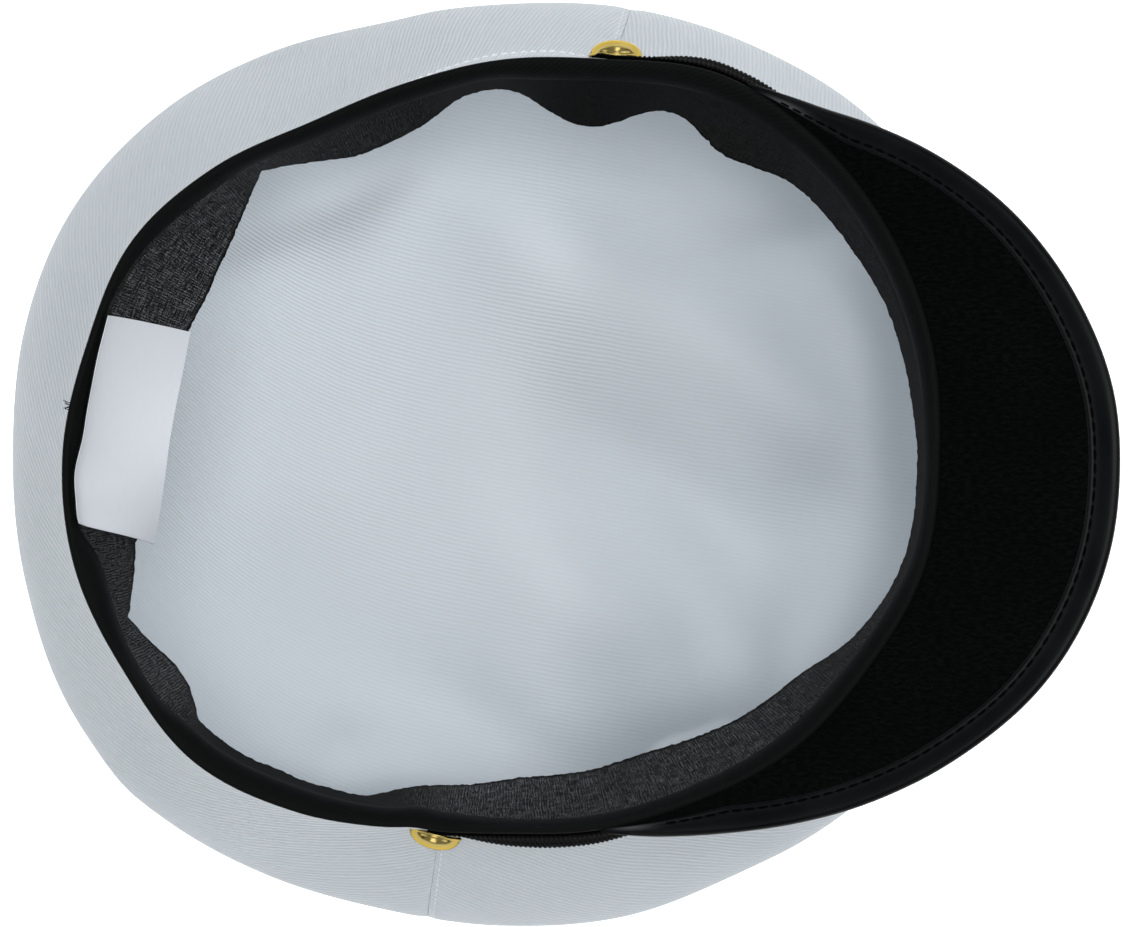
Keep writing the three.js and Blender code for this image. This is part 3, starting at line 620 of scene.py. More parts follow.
def open_weave(name):
    """Thin black open-weave cloth. Map `cloth` is mm along and down, map `open` how open it looks."""
    k = Nodes(name)
    u, v, _ = k.xyz(k.uv("cloth"))
    share, edge, _ = k.xyz(k.uv("open"))
    light, _, _ = k.xyz(k.uv("light"))
    wobble = k.maths("MULTIPLY", k.noise(k.vector(k.maths("MULTIPLY", u, 0.12), k.maths("MULTIPLY", v, 0.12)), 1.0, 2), 0.9)
    uu, vv = k.maths("ADD", u, wobble), k.maths("ADD", v, wobble)
    # threads both ways, each a little out of step and now thick, now thin
    def threads(a, b, pitch, seed):
        stray = k.noise(k.vector(k.maths("MULTIPLY", a, 0.9), k.maths("MULTIPLY", b, 0.18), seed), 1.0, 2)
        swell = k.ramp(k.noise(k.vector(k.maths("MULTIPLY", a, 1.6), k.maths("MULTIPLY", b, 0.30), seed + 4), 1.0, 1), 0.30, 0.62, 0.15, 1.0)
        line = k.maths("SINE", k.maths("MULTIPLY_ADD", a, 2 * math.pi / pitch, k.maths("MULTIPLY", stray, 9.0)))
        single = k.noise(k.vector(k.maths("MULTIPLY", a, 2.9), k.maths("MULTIPLY", b, 0.24), seed + 9), 1.0, 1)
        return k.maths("ADD", k.maths("MULTIPLY_ADD", k.maths("MULTIPLY", line, swell), 0.13, 0.225), k.maths("MULTIPLY", single, 0.55))

    down = threads(uu, vv, 0.68, 1.0)
    across = threads(vv, uu, 0.68, 7.0)
    fine = k.noise(k.vector(k.maths("MULTIPLY", uu, 3.0), k.maths("MULTIPLY", vv, 1.9), 3.0), 1.0, 1, 0.5)
    thread = k.maths("MULTIPLY_ADD", down, 0.29, k.maths("MULTIPLY_ADD", across, 0.41, k.maths("MULTIPLY", fine, 0.30)))
    # where threads part, what is behind shows
    gaps = k.ramp(thread, 0.455, 0.566, 0.0, 1.0)
    hem = k.ramp(edge, 0.20, 1.15, 0.0, 1.0)
    clear = k.maths("MULTIPLY", k.maths("MULTIPLY", gaps, share), k.maths("MULTIPLY", hem, 0.44))
    # the threads' colour is lightened by the map `light`, painted light and shade that changes with the angle round the
    # band; the hem is darker
    tone = k.mix(k.maths("MULTIPLY", k.maths("MULTIPLY", k.ramp(thread, 0.449, 0.555), light), hem), (0.0046, 0.0049, 0.0050), (0.0530, 0.0540, 0.0545))
    k.principled(
        Base_Color=tone,
        Roughness=0.82,
        Normal=k.bump(thread, 0.6, 0.15 * MM),
        Alpha=k.maths("SUBTRACT", 1.0, clear),
        Specular_IOR_Level=0.06,
    )
    return k.m


def satin(name):
    """White satin ribbon. Map `cloth` is mm along and across."""
    k = Nodes(name)
    u, v, _ = k.xyz(k.uv("cloth"))
    line = k.noise(k.vector(k.maths("MULTIPLY", u, 0.25), k.maths("MULTIPLY", v, 5.0)), 1.0, 2)
    grain = k.noise(k.vector(k.maths("MULTIPLY", u, 4.0), k.maths("MULTIPLY", v, 4.0)), 1.0, 2)
    height = k.maths("ADD", k.maths("MULTIPLY", line, 0.6), k.maths("MULTIPLY", grain, 0.4))
    k.principled(
        Base_Color=k.mix(k.ramp(height, 0.3, 0.7), (0.688, 0.728, 0.775), (0.738, 0.775, 0.820)),
        Roughness=k.ramp(line, 0.3, 0.7, 0.42, 0.58),
        Normal=k.bump(height, 0.4, 0.04 * MM),
        Specular_IOR_Level=0.4,
        Sheen_Weight=0.1,
    )
    return k.m


def board(name):
    """Underside of the peak: matte black, faintly fibrous across."""
    k = Nodes(name)
    x, y, _ = k.xyz(k.place())
    fibre = k.noise(k.vector(k.maths("MULTIPLY", x, 620.0), k.maths("MULTIPLY", y, 1500.0)), 1.0, 3, 0.65)
    patch = k.noise(k.place(), 45, 3)
    tone = k.mix(k.maths("MULTIPLY", k.ramp(fibre, 0.40, 0.64), k.ramp(patch, 0.3, 0.7, 0.55, 1.0)), (0.0012, 0.0016, 0.0015), (0.0034, 0.0041, 0.0039))
    k.principled(
        Base_Color=tone,
        Roughness=0.85,
        Normal=k.bump(fibre, 0.5, 0.10 * MM),
        Specular_IOR_Level=0.01,
    )
    return k.m


def vinyl(name):
    """Gloss black vinyl with a very fine grain. One map says where a pale sheen is painted into its colour, standing in
    for a glossy reflection.
    """
    k = Nodes(name)
    painted_sheen_share, _, _ = k.xyz(k.uv("painted_sheen"))
    where = k.place()
    grain = k.noise(where, 1500, 2, 0.5)
    soft = k.noise(where, 60, 3, 0.55)
    k.principled(
        # painted sheen: where the map above is high, the colour is raised toward pale grey; elsewhere it is a faint
        # random tone
        Base_Color=k.mix(k.maths("ADD", k.maths("MULTIPLY", k.ramp(soft, 0.35, 0.7), 0.022), painted_sheen_share), (0.0020, 0.0024, 0.0028), (0.0780, 0.0820, 0.0860)),
        Roughness=k.ramp(soft, 0.3, 0.7, 0.32, 0.44),
        Normal=k.bump(grain, 0.10, 0.03 * MM, k.bump(soft, 0.25, 0.6 * MM)),
        Specular_IOR_Level=0.13,
    )
    return k.m


def braid_cloth(name):
    """Black braided cord."""
    k = Nodes(name)
    u, v, _ = k.xyz(k.uv("cloth"))
    strand = k.noise(k.vector(k.maths("MULTIPLY", u, 4.0), k.maths("MULTIPLY", v, 4.0)), 1.0, 2)
    k.principled(
        Base_Color=k.mix(k.ramp(strand, 0.3, 0.7), (0.0008, 0.0010, 0.0011), (0.0024, 0.0027, 0.0029)),
        Roughness=k.ramp(strand, 0.3, 0.7, 0.7, 0.85),
        Normal=k.bump(strand, 0.6, 0.08 * MM),
        Specular_IOR_Level=0.03,
    )
    return k.m


def gold(name):
    """Polished gold plate, faintly uneven."""
    k = Nodes(name)
    where = k.place()
    soft = k.noise(where, 260, 2)
    fine = k.noise(where, 1800, 2)
    k.principled(
        Base_Color=k.mix(k.ramp(soft, 0.3, 0.7), (0.34, 0.262, 0.080), (0.41, 0.325, 0.115)),
        Metallic=1.0,
        Specular_Tint=(0.86, 0.70, 0.36, 1.0),
        Roughness=k.ramp(fine, 0.3, 0.7, 0.15, 0.22),
        Normal=k.bump(soft, 0.55, 0.35 * MM),
    )
    return k.m


def thread(name, low, high, rough, shine=0.35):
    k = Nodes(name)
    twist = k.noise(k.place(), 2600, 2)
    k.principled(
        Base_Color=k.mix(k.ramp(twist, 0.3, 0.7), low, high),
        Roughness=rough,
        Normal=k.bump(twist, 0.5, 0.05 * MM),
        Specular_IOR_Level=shine,
    )
    return k.m


def pale(name, tone, glow):
    """The plain floor."""
    k = Nodes(name)
    soft = k.noise(k.place(), 3.0, 2)
    p = k.principled(Base_Color=k.mix(soft, tuple(c * 0.995 for c in tone), tone), Roughness=0.9, Specular_IOR_Level=0.1)
    p.inputs["Emission Color"].default_value = (1, 1, 1, 1)
    p.inputs["Emission Strength"].default_value = glow
    return k.m


WHITE = (0.624, 0.672, 0.713)
white_twill = twill_cloth("white_twill", WHITE, 0.08, 0.055, True)
side_twill = twill_cloth("white_twill_side", WHITE, 0.16, 0.13)
black_tape = ribbed_tape("black_tape")
weave = open_weave("black_open_weave")
white_satin = satin("white_satin")
black_board = board("black_board")
gloss = vinyl("black_gloss_vinyl")
black_braid = braid_cloth("black_braid")
gold_plate = gold("gold")
white_thread = thread("white_thread", (0.70, 0.73, 0.77), (0.80, 0.83, 0.86), 0.7)
black_thread = thread("black_thread", (0.0008, 0.0008, 0.0009), (0.0020, 0.0020, 0.0022), 0.9, 0.02)


# ---------------------------------------------------------------- crown: side wall

TAPE_CAP = 1.4
WALL = 1.0


def side_point(deg, down):
    """Outer face of the side wall: radius and height; down is 0 at the rim and 1 at the widest line."""
    deg, down = np.broadcast_arrays(np.asarray(deg, float), np.asarray(down, float))
    r0, r1 = rim_r(deg), crown_r(deg)
    start = ring(SECTIONS, FLARE, deg) * 0.6
    s = np.clip((down - start) / (1 - start), 0, 1)
    out = np.sin(s * np.pi / 2) ** 1.7
    top, bottom = rim_z(deg) - TAPE_CAP - GAP, crown_z(deg)
    d = np.zeros_like(deg)
    for at, half, depth, row in SIDE_DENTS:
        a, b = turn(deg - at) / half, (down - row) / 0.26
        d += depth * np.exp(-a * a - b * b)
    d *= np.minimum(1, down / 0.2) * np.minimum(1, np.maximum(1 - down, 0) / 0.15)
    # soft ripples of the cloth, strongest where the wall swings out
    ripple = 0.55 * waves(deg + 30 * down, 11, 360, 6) * np.sin(np.pi * np.clip(down, 0, 1)) ** 1.2
    ripple += 0.30 * np.sin(np.radians(deg * 11 + 160 * down)) * np.exp(-(((down - 0.72) / 0.2) ** 2))
    # the hem stands out beside the button
    hem = ring_straight(HEM, 1, deg) * np.exp(-(((down - 0.11) / 0.09) ** 2))
    # seam pinch at both buttons
    pinch = sum(np.exp(-((turn(deg - SEAM[a]) / 0.9) ** 2)) for a in ("front", "back")) * -0.35 * smooth(down, 0.05, 0.25)
    # and the buttons, sewn on tight, draw it in
    pinch = pinch - 1.0 * sum(np.exp(-((turn(deg - SEAM[a]) / 5.5) ** 2)) for a in ("button_front", "button_back")) * smooth(down, 0.0, 0.04) * smooth(down, 0.34, 0.20)
    tuck = -0.25 * smooth(down, 0.02, -0.02)
    # the edge rolls in where the panel is sewn to the top
    roll = -0.7 * smooth(down, 0.965, 1.0)
    r = r0 + (r1 - r0) * out + d + ripple + hem + pinch + tuck + roll
    z = top + (bottom - top) * down
    return r, z


def side_panel(name, start, stop, grain, node):
    steps = int(round((stop - start) / 0.5)) + 1
    deg = np.linspace(start, stop, steps)
    down = np.concatenate([[-0.012, 0.0, 0.02], np.linspace(0.045, 0.955, 44), [0.972, 0.986, 1.0]])
    D, W = np.meshgrid(deg, down, indexing="ij")
    r, z = side_point(D, W)
    outer = place(D, r, z)
    k = normals(outer, False)
    k *= np.sign(np.einsum("ijk,ijk->ij", k, outer - np.array([AXIS[0], AXIS[1], 45.0])).mean())
    # the cloth is pressed thin where the tape grips it
    inner = outer - k * (WALL * (0.62 + 0.38 * smooth(W, 0.06, 0.16)))[..., None]
    inner[:, 0, 2], inner[:, -1, 2] = outer[:, 0, 2], outer[:, -1, 2]
    # flat pattern of the panel: a bow of cloth with one straight grain
    length = np.radians(D - (start + stop) / 2) * 105.0
    depth = np.concatenate([np.zeros((steps, 1)), np.cumsum(np.linalg.norm(np.diff(outer, axis=1), axis=2), axis=1)], 1)
    psi = np.radians(along(grain, 1, D))
    # phase is the integral of the rib direction across the panel
    along_u = np.sin(psi)
    phase = np.zeros_like(D)
    du = np.diff(length[:, 0])
    base = np.concatenate([[0], np.cumsum((along_u[1:, 0] + along_u[:-1, 0]) / 2 * du)])
    # the wall stands steep, and its ribs are spaced a little wider down it than along it
    plan = np.concatenate([np.zeros((steps, 1)), np.cumsum(np.abs(np.diff(np.hypot(outer[..., 0] - AXIS[0], outer[..., 1] - AXIS[1]), axis=1)), axis=1)], 1)
    phase = (base[:, None] + np.cos(psi) * (0.45 * depth + 0.45 * plan)) / WALE
    run = (np.cos(psi) * length + np.sin(psi) * depth)
    twill = shell_values(np.stack([phase, run], -1))
    P = shell(outer, inner)
    pts, faces, maps = loft(P, False, True, {"twill": twill})
    ob = make_mesh(name, pts, faces, maps, side_twill)
    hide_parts(node)
    return ob


side_front = side_panel("crown_side_front_cloth", SEAM["back"] - 360 + 0.03, SEAM["front"] - 0.03, GRAIN_FRONT, "crown_side_front")
side_back = side_panel("crown_side_back_cloth", SEAM["front"] + 0.03, SEAM["back"] - 0.03, GRAIN_BACK, "crown_side_back")


# ---------------------------------------------------------------- crown: top panel

def top_lift(x, y, from_edge):
    h = np.full(np.shape(x), TOP_BASE)
    for fx, fy, deg, length, width, height in TOP_FOLDS:
        c, s = math.cos(math.radians(deg)), math.sin(math.radians(deg))
        dx, dy = x - AXIS[0] - fx, y - AXIS[1] - fy
        h = h + height * np.exp(-(((dx * c + dy * s) / length) ** 2) - (((dy * c - dx * s) / width) ** 2))
    return np.maximum(0, h) * smooth(from_edge, TOP_FLAT, TOP_RISE)


def twill_phase(x, y):
    """Ribs of the top panel: level lines of y + the integral of their slope."""
    at = np.linspace(-130, 130, 521)
    slope = np.tan(np.radians(np.interp(at, TWILL[:, 0], TWILL[:, 1])))
    drop = np.concatenate([[0], np.cumsum((slope[1:] + slope[:-1]) / 2 * np.diff(at))])
    g = np.interp(x, at, drop)
    lean = np.interp(x, at, slope)
    return (y + g) / WALE, x * np.sqrt(1 + lean**2)


def top_panel():
    segments = 480
    deg = np.linspace(0, 360, segments, endpoint=False)
    R, edge_z = crown_r(deg), crown_z(deg) - GAP
    inner_r = np.concatenate([np.linspace(0.012, 1, 78) ** 0.92])
    rows = []
    for f in inner_r:
        rows.append(((R - TOP_FLAT) * f, np.zeros(segments)))
    for inward, share in ((11.0, 0.0), (8.6, 0.004), (6.9, 0.02), (5.3, 0.07), (3.9, 0.15), (2.8, 0.25), (1.9, 0.36), (1.15, 0.50), (0.6, 0.64), (0.22, 0.79), (0.06, 0.90), (0.16, 0.97), (0.65, 1.0)):
        rows.append((R - inward, np.full(segments, share)))
    r = np.stack([a for a, _ in rows], 1)
    share = np.stack([b for _, b in rows], 1)
    D = np.repeat(deg[:, None], r.shape[1], 1)
    flat = place(D, r, 0)
    z = top_lift(flat[..., 0], flat[..., 1], R[:, None] - r) + share * edge_z[:, None]
    outer = place(D, r, z)
    # outward is down on the floor and out at the rolled edge
    k = normals(outer)
    k *= -np.sign(k[:, 5:60, 2].mean())
    inner = outer - k * WALL
    twill = np.stack(twill_phase(outer[..., 0], outer[..., 1]), -1)
    twill_closed = np.concatenate([twill, twill[:1]], 0)
    # both faces, the rolled edge between them, and two fans at the middle
    P = np.concatenate([outer, inner[:, ::-1]], 1)
    T = np.concatenate([twill_closed, twill_closed[:, ::-1]], 1)
    pts, faces, maps = loft(P, True, False, {"twill": T}, caps=False)
    m = P.shape[1]
    parts_faces = [faces]
    pts = np.concatenate([pts, P[:, 0].mean(0)[None], P[:, -1].mean(0)[None]])
    n = segments
    i = np.arange(n)
    low = np.stack([(i + 1) % n * m, i * m, np.full(n, n * m)], 1)
    high = np.stack([i * m + m - 1, (i + 1) % n * m + m - 1, np.full(n, n * m + 1)], 1)
    tri_maps = []
    for tri in (low, high):
        p = pts[tri]
        want = -1.0 if tri is low else 1.0
        up = np.cross(p[:, 1] - p[:, 0], p[:, 2] - p[:, 0])[:, 2].mean()
        if up * want < 0:
            tri[:] = tri[:, ::-1].copy()
        q = pts[tri]
        tri_maps.append(np.stack(twill_phase(q[..., 0], q[..., 1]), -1).reshape(-1, 2))
        parts_faces.append(tri)
    # the quads must face out as the fans do
    q = pts[faces]
    near = np.where(faces[:, 0] % m == 1)[0][:50]
    up = np.cross(q[near, 1] - q[near, 0], q[near, 2] - q[near, 0])[:, 2].mean()
    uvq = maps["twill"].reshape(-1, 4, 2)
    if up > 0:
        parts_faces[0] = faces[:, ::-1]
        uvq = uvq[:, ::-1]
    allmaps = {"twill": np.concatenate([uvq.reshape(-1, 2), *tri_maps])}
    ob = make_mesh("crown_top_cloth", pts, parts_faces, allmaps, white_twill)
    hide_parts("crown_top")
    return ob


crown_top = top_panel()


# ---------------------------------------------------------------- rim tape

def smoothed(values, steps):
    """A closed run of values, averaged over a bell of this many steps."""
    k = np.arange(-4 * steps, 4 * steps + 1)
    bell = np.exp(-0.5 * (k / steps) ** 2)
    return np.convolve(np.concatenate([values[-4 * steps :], values, values[: 4 * steps]]), bell / bell.sum(), "valid")


FINE = np.linspace(0, 360, 3600, endpoint=False)
_straight = ring_straight(BAND_EDGE, 1, FINE)
_corner = np.max([np.exp(-((turn(FINE - c) / 1.3) ** 2)) for c in BAND_CORNERS], axis=0)
_bell = smoothed(_straight, 15)
FREE = np.stack([FINE, _straight * _corner + _bell * (1 - _corner)], 1)
FREE[:, 1] -= BAND_NICK["deep"] * np.exp(-((turn(FINE - BAND_NICK["deg"]) / BAND_NICK["wide"]) ** 2))
FREE_SOFT = np.stack([FINE, smoothed(_straight, 25)], 1)
_tape = np.minimum(ring(TAPE_WIDE, 1, FINE), _bell - 0.15)
TAPE = np.stack([FINE, smoothed(_tape, 8)], 1)


def tape_wide(deg):
    return ring_straight(TAPE, 1, deg)


def rim_tape():
    count = 1200
    deg = np.linspace(0, 360, count, endpoint=False)
    r, z, w = rim_r(deg), rim_z(deg), tape_wide(deg)
    wob = 0.10 * waves(deg, 5, 360, 7)
    # the right button draws it in a little
    for at, wide, deep in ((256.8, 2.8, 0.6),):
        wob = wob - deep * np.exp(-(((deg - at) / wide) ** 2))
    # section: inward from the rim, height under the rim's own
    rows = [
        (0.28, 0, -1.55), (0.02, 0, -1.15), (-0.05, 0, -0.70), (0.08, 0, -0.30), (0.42, 0, -0.04), (0.90, 0, 0.05),
        (1.40, 0, -0.04), (0.55, 0.30, -0.42), (0.20, 0.60, -1.30), (0, 0.82, -2.60), (0, 0.95, -4.20), (0, 1.0, -6.00), (0, 1.02, -8.00),
    ]
    face = np.stack([place(deg, r - (a + b * w) + wob, z + c) for a, b, c in rows], 1)
    back_rows = [
        (-0.62, 1.02, -8.00), (-0.62, 1.0, -6.10), (-0.60, 0.95, -4.50), (-0.52, 0.82, -3.10), (-0.2, 0.60, -1.95),
        (0.35, 0.30, -1.25), (1.30, 0, -0.85), (0.90, 0, -0.80), (0.62, 0, -0.95), (0.52, 0, -1.20), (0.46, 0, -1.55),
    ]
    back = np.stack([place(deg, r - (a + b * w) + wob, z + c) for a, b, c in back_rows], 1)
    P = np.concatenate([face, back], 1)
    u = np.append(run_length(deg), RIM_LENGTH)
    girth = np.concatenate([[0], np.cumsum(np.linalg.norm(np.diff(P.mean(0), axis=0), axis=1))])
    step = np.linalg.norm(np.diff(P, axis=1), axis=2).mean(0)
    v = np.concatenate([[0], np.cumsum(step), [np.sum(step) + 0.3]])
    ribs = ring(TAPE_RIBS, 1, np.append(deg, 360.0))
    maps = {
        "cloth": np.stack(np.broadcast_arrays(u[:, None], v[None, :]), -1),
        "ribs": np.stack(np.broadcast_arrays(ribs[:, None], 0 * v[None, :]), -1),
    }
    pts, faces, maps = loft(P, True, True, maps)
    ob = make_mesh("rim_tape_cloth", pts, faces, maps, black_tape)
    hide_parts("rim_tape")
    return ob


rim_tape_ob = rim_tape()


# ---------------------------------------------------------------- sweatband

def band_point(deg, t, lift=0.0):
    """The sweatband's face at angle and share of its width from the tape down; lift is off the face, inward."""
    deg, t = np.broadcast_arrays(np.asarray(deg, float), np.asarray(t, float))
    r, z = rim_r(deg), rim_z(deg)
    free = ring_straight(FREE, 1, deg)
    free_soft = ring_straight(FREE_SOFT, 1, deg)
    w = tape_wide(deg)
    drop = np.sqrt(BAND_WIDTH**2 - np.clip(free_soft, 1, 27) ** 2)
    start = 0.82 * w - 0.2
    end = free * t**3 + free_soft * (1 - t**3)
    belly = 0.9 * np.sin(np.pi * t) * waves(deg, 21, 360, 7) * smooth(free, 5.5, 9.0)
    x = start + (end - start) * t**1.25 + belly
    zz = -2.6 - (drop - 2.6) * t
    tilt = free_soft / BAND_WIDTH
    return r - x - lift * np.sqrt(1 - tilt**2), z + zz + lift * tilt


def sweatband():
    count = 1500
    deg = np.linspace(0, 360, count, endpoint=False)
    rows = 30
    t = np.linspace(0, 1, rows) ** 0.9
    D, T = np.meshgrid(deg, t, indexing="ij")
    # long creases where it lies folded over at the front
    crease = np.zeros_like(D)
    for first, last, high, low, deep in BAND_CREASES:
        where = high + (low - high) * (D - first) / (last - first)
        crease -= deep * np.exp(-(((T - where) / 0.055) ** 2)) * smooth(D, first, first + 5) * (1 - smooth(D, last - 5, last))
    r, z = band_point(D, T, crease)
    # the cut edge is a little uneven
    rng = np.random.default_rng(4)
    fray = np.convolve(np.concatenate([rng.normal(size=count)] * 3), [0.25, 0.5, 0.25], "same")[count : 2 * count]
    r[:, -1] -= 0.10 * fray
    face = place(D, r, z)
    rb, zb = band_point(D, T, crease - 0.28)
    rb[:, -1] -= 0.10 * fray
    back = place(D, rb, zb)
    P = shell(face, back, 0.2)
    u = np.append(run_length(deg), RIM_LENGTH)
    v = t * BAND_WIDTH
    cloth = shell_map(u, v, rows, True)
    openness = np.append(ring(OPENNESS, 1, deg), ring(OPENNESS, 1, 0.0))
    edge = (1 - t) * BAND_WIDTH
    ee = np.concatenate([edge, [0], edge[::-1], [edge[0]], [edge[0]]])
    opening = np.stack(np.broadcast_arrays(openness[:, None], ee[None, :]), -1)
    # painted light and shade: how much the threads' colour is lightened at each angle
    light = ring(WEAVE_PAINTED_LIGHT, 1, np.append(deg, 360.0))
    light = np.stack(np.broadcast_arrays(light[:, None], 0 * ee[None, :]), -1)
    pts, faces, maps = loft(P, True, True, {"cloth": cloth, "open": opening, "light": light})
    ob = make_mesh("sweatband_cloth", pts, faces, maps, weave)
    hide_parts("sweatband")
    return ob


sweatband_ob = sweatband()


# ---------------------------------------------------------------- label

def label():
    nu, nt = 90, 40
    u, t = np.linspace(0, 1, nu), np.linspace(0.0, 1.0, nt)
    U, T = np.meshgrid(u, t, indexing="ij")
    share = T ** 1.1
    deg = (LABEL["top_from"] * (1 - share) + LABEL["low_from"] * share) * (1 - U) + (LABEL["top_to"] * (1 - share) + LABEL["low_to"] * share) * U
    end = along(LABEL_EDGE, 1, deg)
    drop = np.sqrt(BAND_WIDTH**2 - end**2)
    tilt = end / BAND_WIDTH
    side = tape_wide(deg) + 0.10 + 0.06 * np.sin(U * 23.0)

    def sheet(lift):
        return (
            rim_r(deg) - (side + (end - side) * T**1.25) - lift * np.sqrt(1 - tilt**2),
            rim_z(deg) - 2.0 - (drop - 2.6) * T + lift * tilt,
        )

    r, z = sheet(0.55)
    # it lies a little loose: a low wave along it, and the rim-side edge lifts
    wave = 0.25 * np.sin(U * 7.5 + 1.0) * np.sin(np.pi * T) + 0.30 * np.exp(-((T / 0.08) ** 2)) * smooth(U, 0.45, 0.85)
    face = place(deg, r - wave, z + 0.4 * wave)
    rb, zb = sheet(0.25)
    back = place(deg, rb - wave, zb + 0.4 * wave)
    P = shell(face, back, 0.25)
    maps = {"cloth": shell_map(u * 48.0, t * 25.0, nt, False)}
    pts, faces, maps = loft(P, False, True, maps)
    ob = make_mesh("label_cloth", pts, faces, maps, white_satin)
    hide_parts("label")
    return ob


label_ob = label()


# ---------------------------------------------------------------- peak

P_FROM, P_TO = float(PEAK_REACH[0, 0]), float(PEAK_REACH[-1, 0])


def peak_point(deg, plan, lift):
    """plan is out from the rim, lift off the underside, square to the board."""
    deg, plan, lift = np.broadcast_arrays(*(np.asarray(a, float) for a in (deg, plan, lift)))
    reach = along(PEAK_REACH, 1, deg)
    slope = math.radians(PEAK["slope"])
    # its two horns thin out and hug the rim
    horn = smooth(deg, P_FROM - 0.5, P_FROM + 8) * (1 - smooth(deg, P_TO - 8, P_TO + 0.5))
    lift = lift * (0.35 + 0.65 * horn)
    bow = 1.2 * np.sin(np.pi * np.clip(plan / np.maximum(reach, 1), 0, 1)) * np.minimum(1, reach / 20)
    r = rim_r(deg) + (GAP + 0.1) * (0.6 + 0.4 * horn) + plan + (PEAK["thick"] * (0.35 + 0.65 * horn) - lift) * math.sin(slope)
    z = rim_z(deg) - TAPE_CAP + plan * math.tan(slope) + bow + lift * math.cos(slope)
    return place(deg, r, z)


def peak_edge(deg):
    return np.maximum(0.3, along(PEAK_REACH, 1, deg) - 0.9)


def peak_board():
    deg = np.linspace(P_FROM + 2.0, P_TO - 2.0, 300)
    s = np.linspace(0, 1, 34)
    D, S = np.meshgrid(deg, s, indexing="ij")
    edge = peak_edge(D) - 1.2
    # its root is sewn into the tape
    root = -0.55
    plan = root + (edge - root) * S
    # two faint creases across the underside
    mid = place(D, rim_r(D) + plan, 0)
    crease = np.zeros_like(D)
    for y, x0, x1, depth in ((-7.6, 92, 112, 0.30), (39.0, 84, 104, 0.14)):
        crease -= depth * np.exp(-(((mid[..., 1] - y) / 0.8) ** 2)) * smooth(mid[..., 0], x0 - 4, x0 + 4) * smooth(mid[..., 0], x1 + 6, x1 - 4)
    under = peak_point(D, plan, 0.08 - crease * 0 + crease)
    # lift 0 faces the crown; the underside as worn is the upper face here
    upper = peak_point(D, plan, PEAK["thick"] - 0.10 + crease)
    lower = peak_point(D, plan, 0.25)
    P = shell(upper, lower, 0.3)
    pts, faces, maps = loft(P, False, True)
    ob = make_mesh("peak_board", pts, faces, None, black_board)
    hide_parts("peak")
    return ob


peak_board_ob = peak_board()


def binding_plan(deg):
    return np.minimum(PEAK["binding"] * math.cos(math.radians(PEAK["slope"])), along(PEAK_REACH, 1, deg) * 0.6)


def peak_vinyl():
    """The gloss cover: over the crown side of the board, round its edge and back to the stitch line."""
    deg = np.linspace(P_FROM, P_TO, 340)
    edge, width = peak_edge(deg), binding_plan(deg)
    thick = PEAK["thick"]
    small = np.minimum(1.0, along(PEAK_REACH, 1, deg) / 6.0)
    # (share from inner line to edge, lift): turned-over face first, then the edge, then the crown side
    turned = [(-0.03, 0.04), (-0.005, 0.22), (0.03, 0.40), (0.08, 0.44), (0.14, 0.30), (0.19, 0.10), (0.24, 0.10), (0.31, 0.30), (0.45, 0.46), (0.58, 0.53), (0.72, 0.52), (0.84, 0.42), (0.93, 0.24)]
    outer = [peak_point(deg, edge - width * (1 - s), thick + h * small) for s, h in turned]
    outer += [peak_point(deg, edge + dx, thick * f) for dx, f in ((-0.12, 1.0), (0.10, 0.78), (0.18, 0.5), (0.10, 0.22), (-0.15, -0.10))]
    for s in np.linspace(0.0, 1.0, 16):
        outer.append(peak_point(deg, (edge - 0.9) * (1 - s) - 0.1 * s, -0.42 - 0.0 * s))
    inner = [peak_point(deg, edge - width * (1 - s), thick - 0.02 + 0.02 * s) for s, h in turned]
    inner += [peak_point(deg, edge - 0.75, thick * f) for f in (0.92, 0.75, 0.5, 0.25, 0.10)]
    for s in np.linspace(0.0, 1.0, 16):
        inner.append(peak_point(deg, (edge - 1.3) * (1 - s) - 0.1 * s, 0.02))
    P = shell(np.stack(outer, 1), np.stack(inner, 1), 0.3)
    # a pale sheen is painted into the colour at the bend of each horn, standing in for a glossy reflection
    share = np.zeros(P.shape[1] + 1)
    share[2:12] = np.sin(np.pi * np.linspace(0.08, 1.0, 10)) ** 2
    horn_sheen = np.exp(-(((deg - 50.8) / 2.4) ** 2)) + 0.7 * np.exp(-(((deg + 70.5) / 2.6) ** 2))
    painted_sheen = horn_sheen[:, None] * share[None, :]
    maps = {"painted_sheen": np.stack([painted_sheen, 0 * painted_sheen], -1)}
    pts, faces, maps = loft(P, False, True, maps)
    ob = make_mesh("peak_vinyl", pts, faces, maps, gloss)
    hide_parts("peak_binding")
    return ob


peak_vinyl_ob = peak_vinyl()


def arc_steps(line, first, length, gap):
    """Start and end points of dashes along a fine line (n, 3)."""
    s = np.concatenate([[0], np.cumsum(np.linalg.norm(np.diff(line, axis=0), axis=1))])
    starts = np.arange(first, s[-1] - length, length + gap)

    def at(q):
        return np.stack([np.interp(q, s, line[:, k]) for k in range(3)], 1)

    return at(starts), at(starts + length)


def peak_stitches():
    deg = np.linspace(P_FROM + 9, P_TO - 4, 700)
    edge, width = peak_edge(deg), binding_plan(deg)
    line = peak_point(deg, edge - width * (1 - 0.215), PEAK["thick"] + 0.26)
    a, b = arc_steps(line, 0.5, 2.35, 0.70)
    pts, faces, maps = capsules(a, b, 0.21)
    ob = make_mesh("peak_stitches", pts, faces, None, black_thread, sharp=None)
    return ob


peak_stitches_ob = peak_stitches()


# ---------------------------------------------------------------- strap

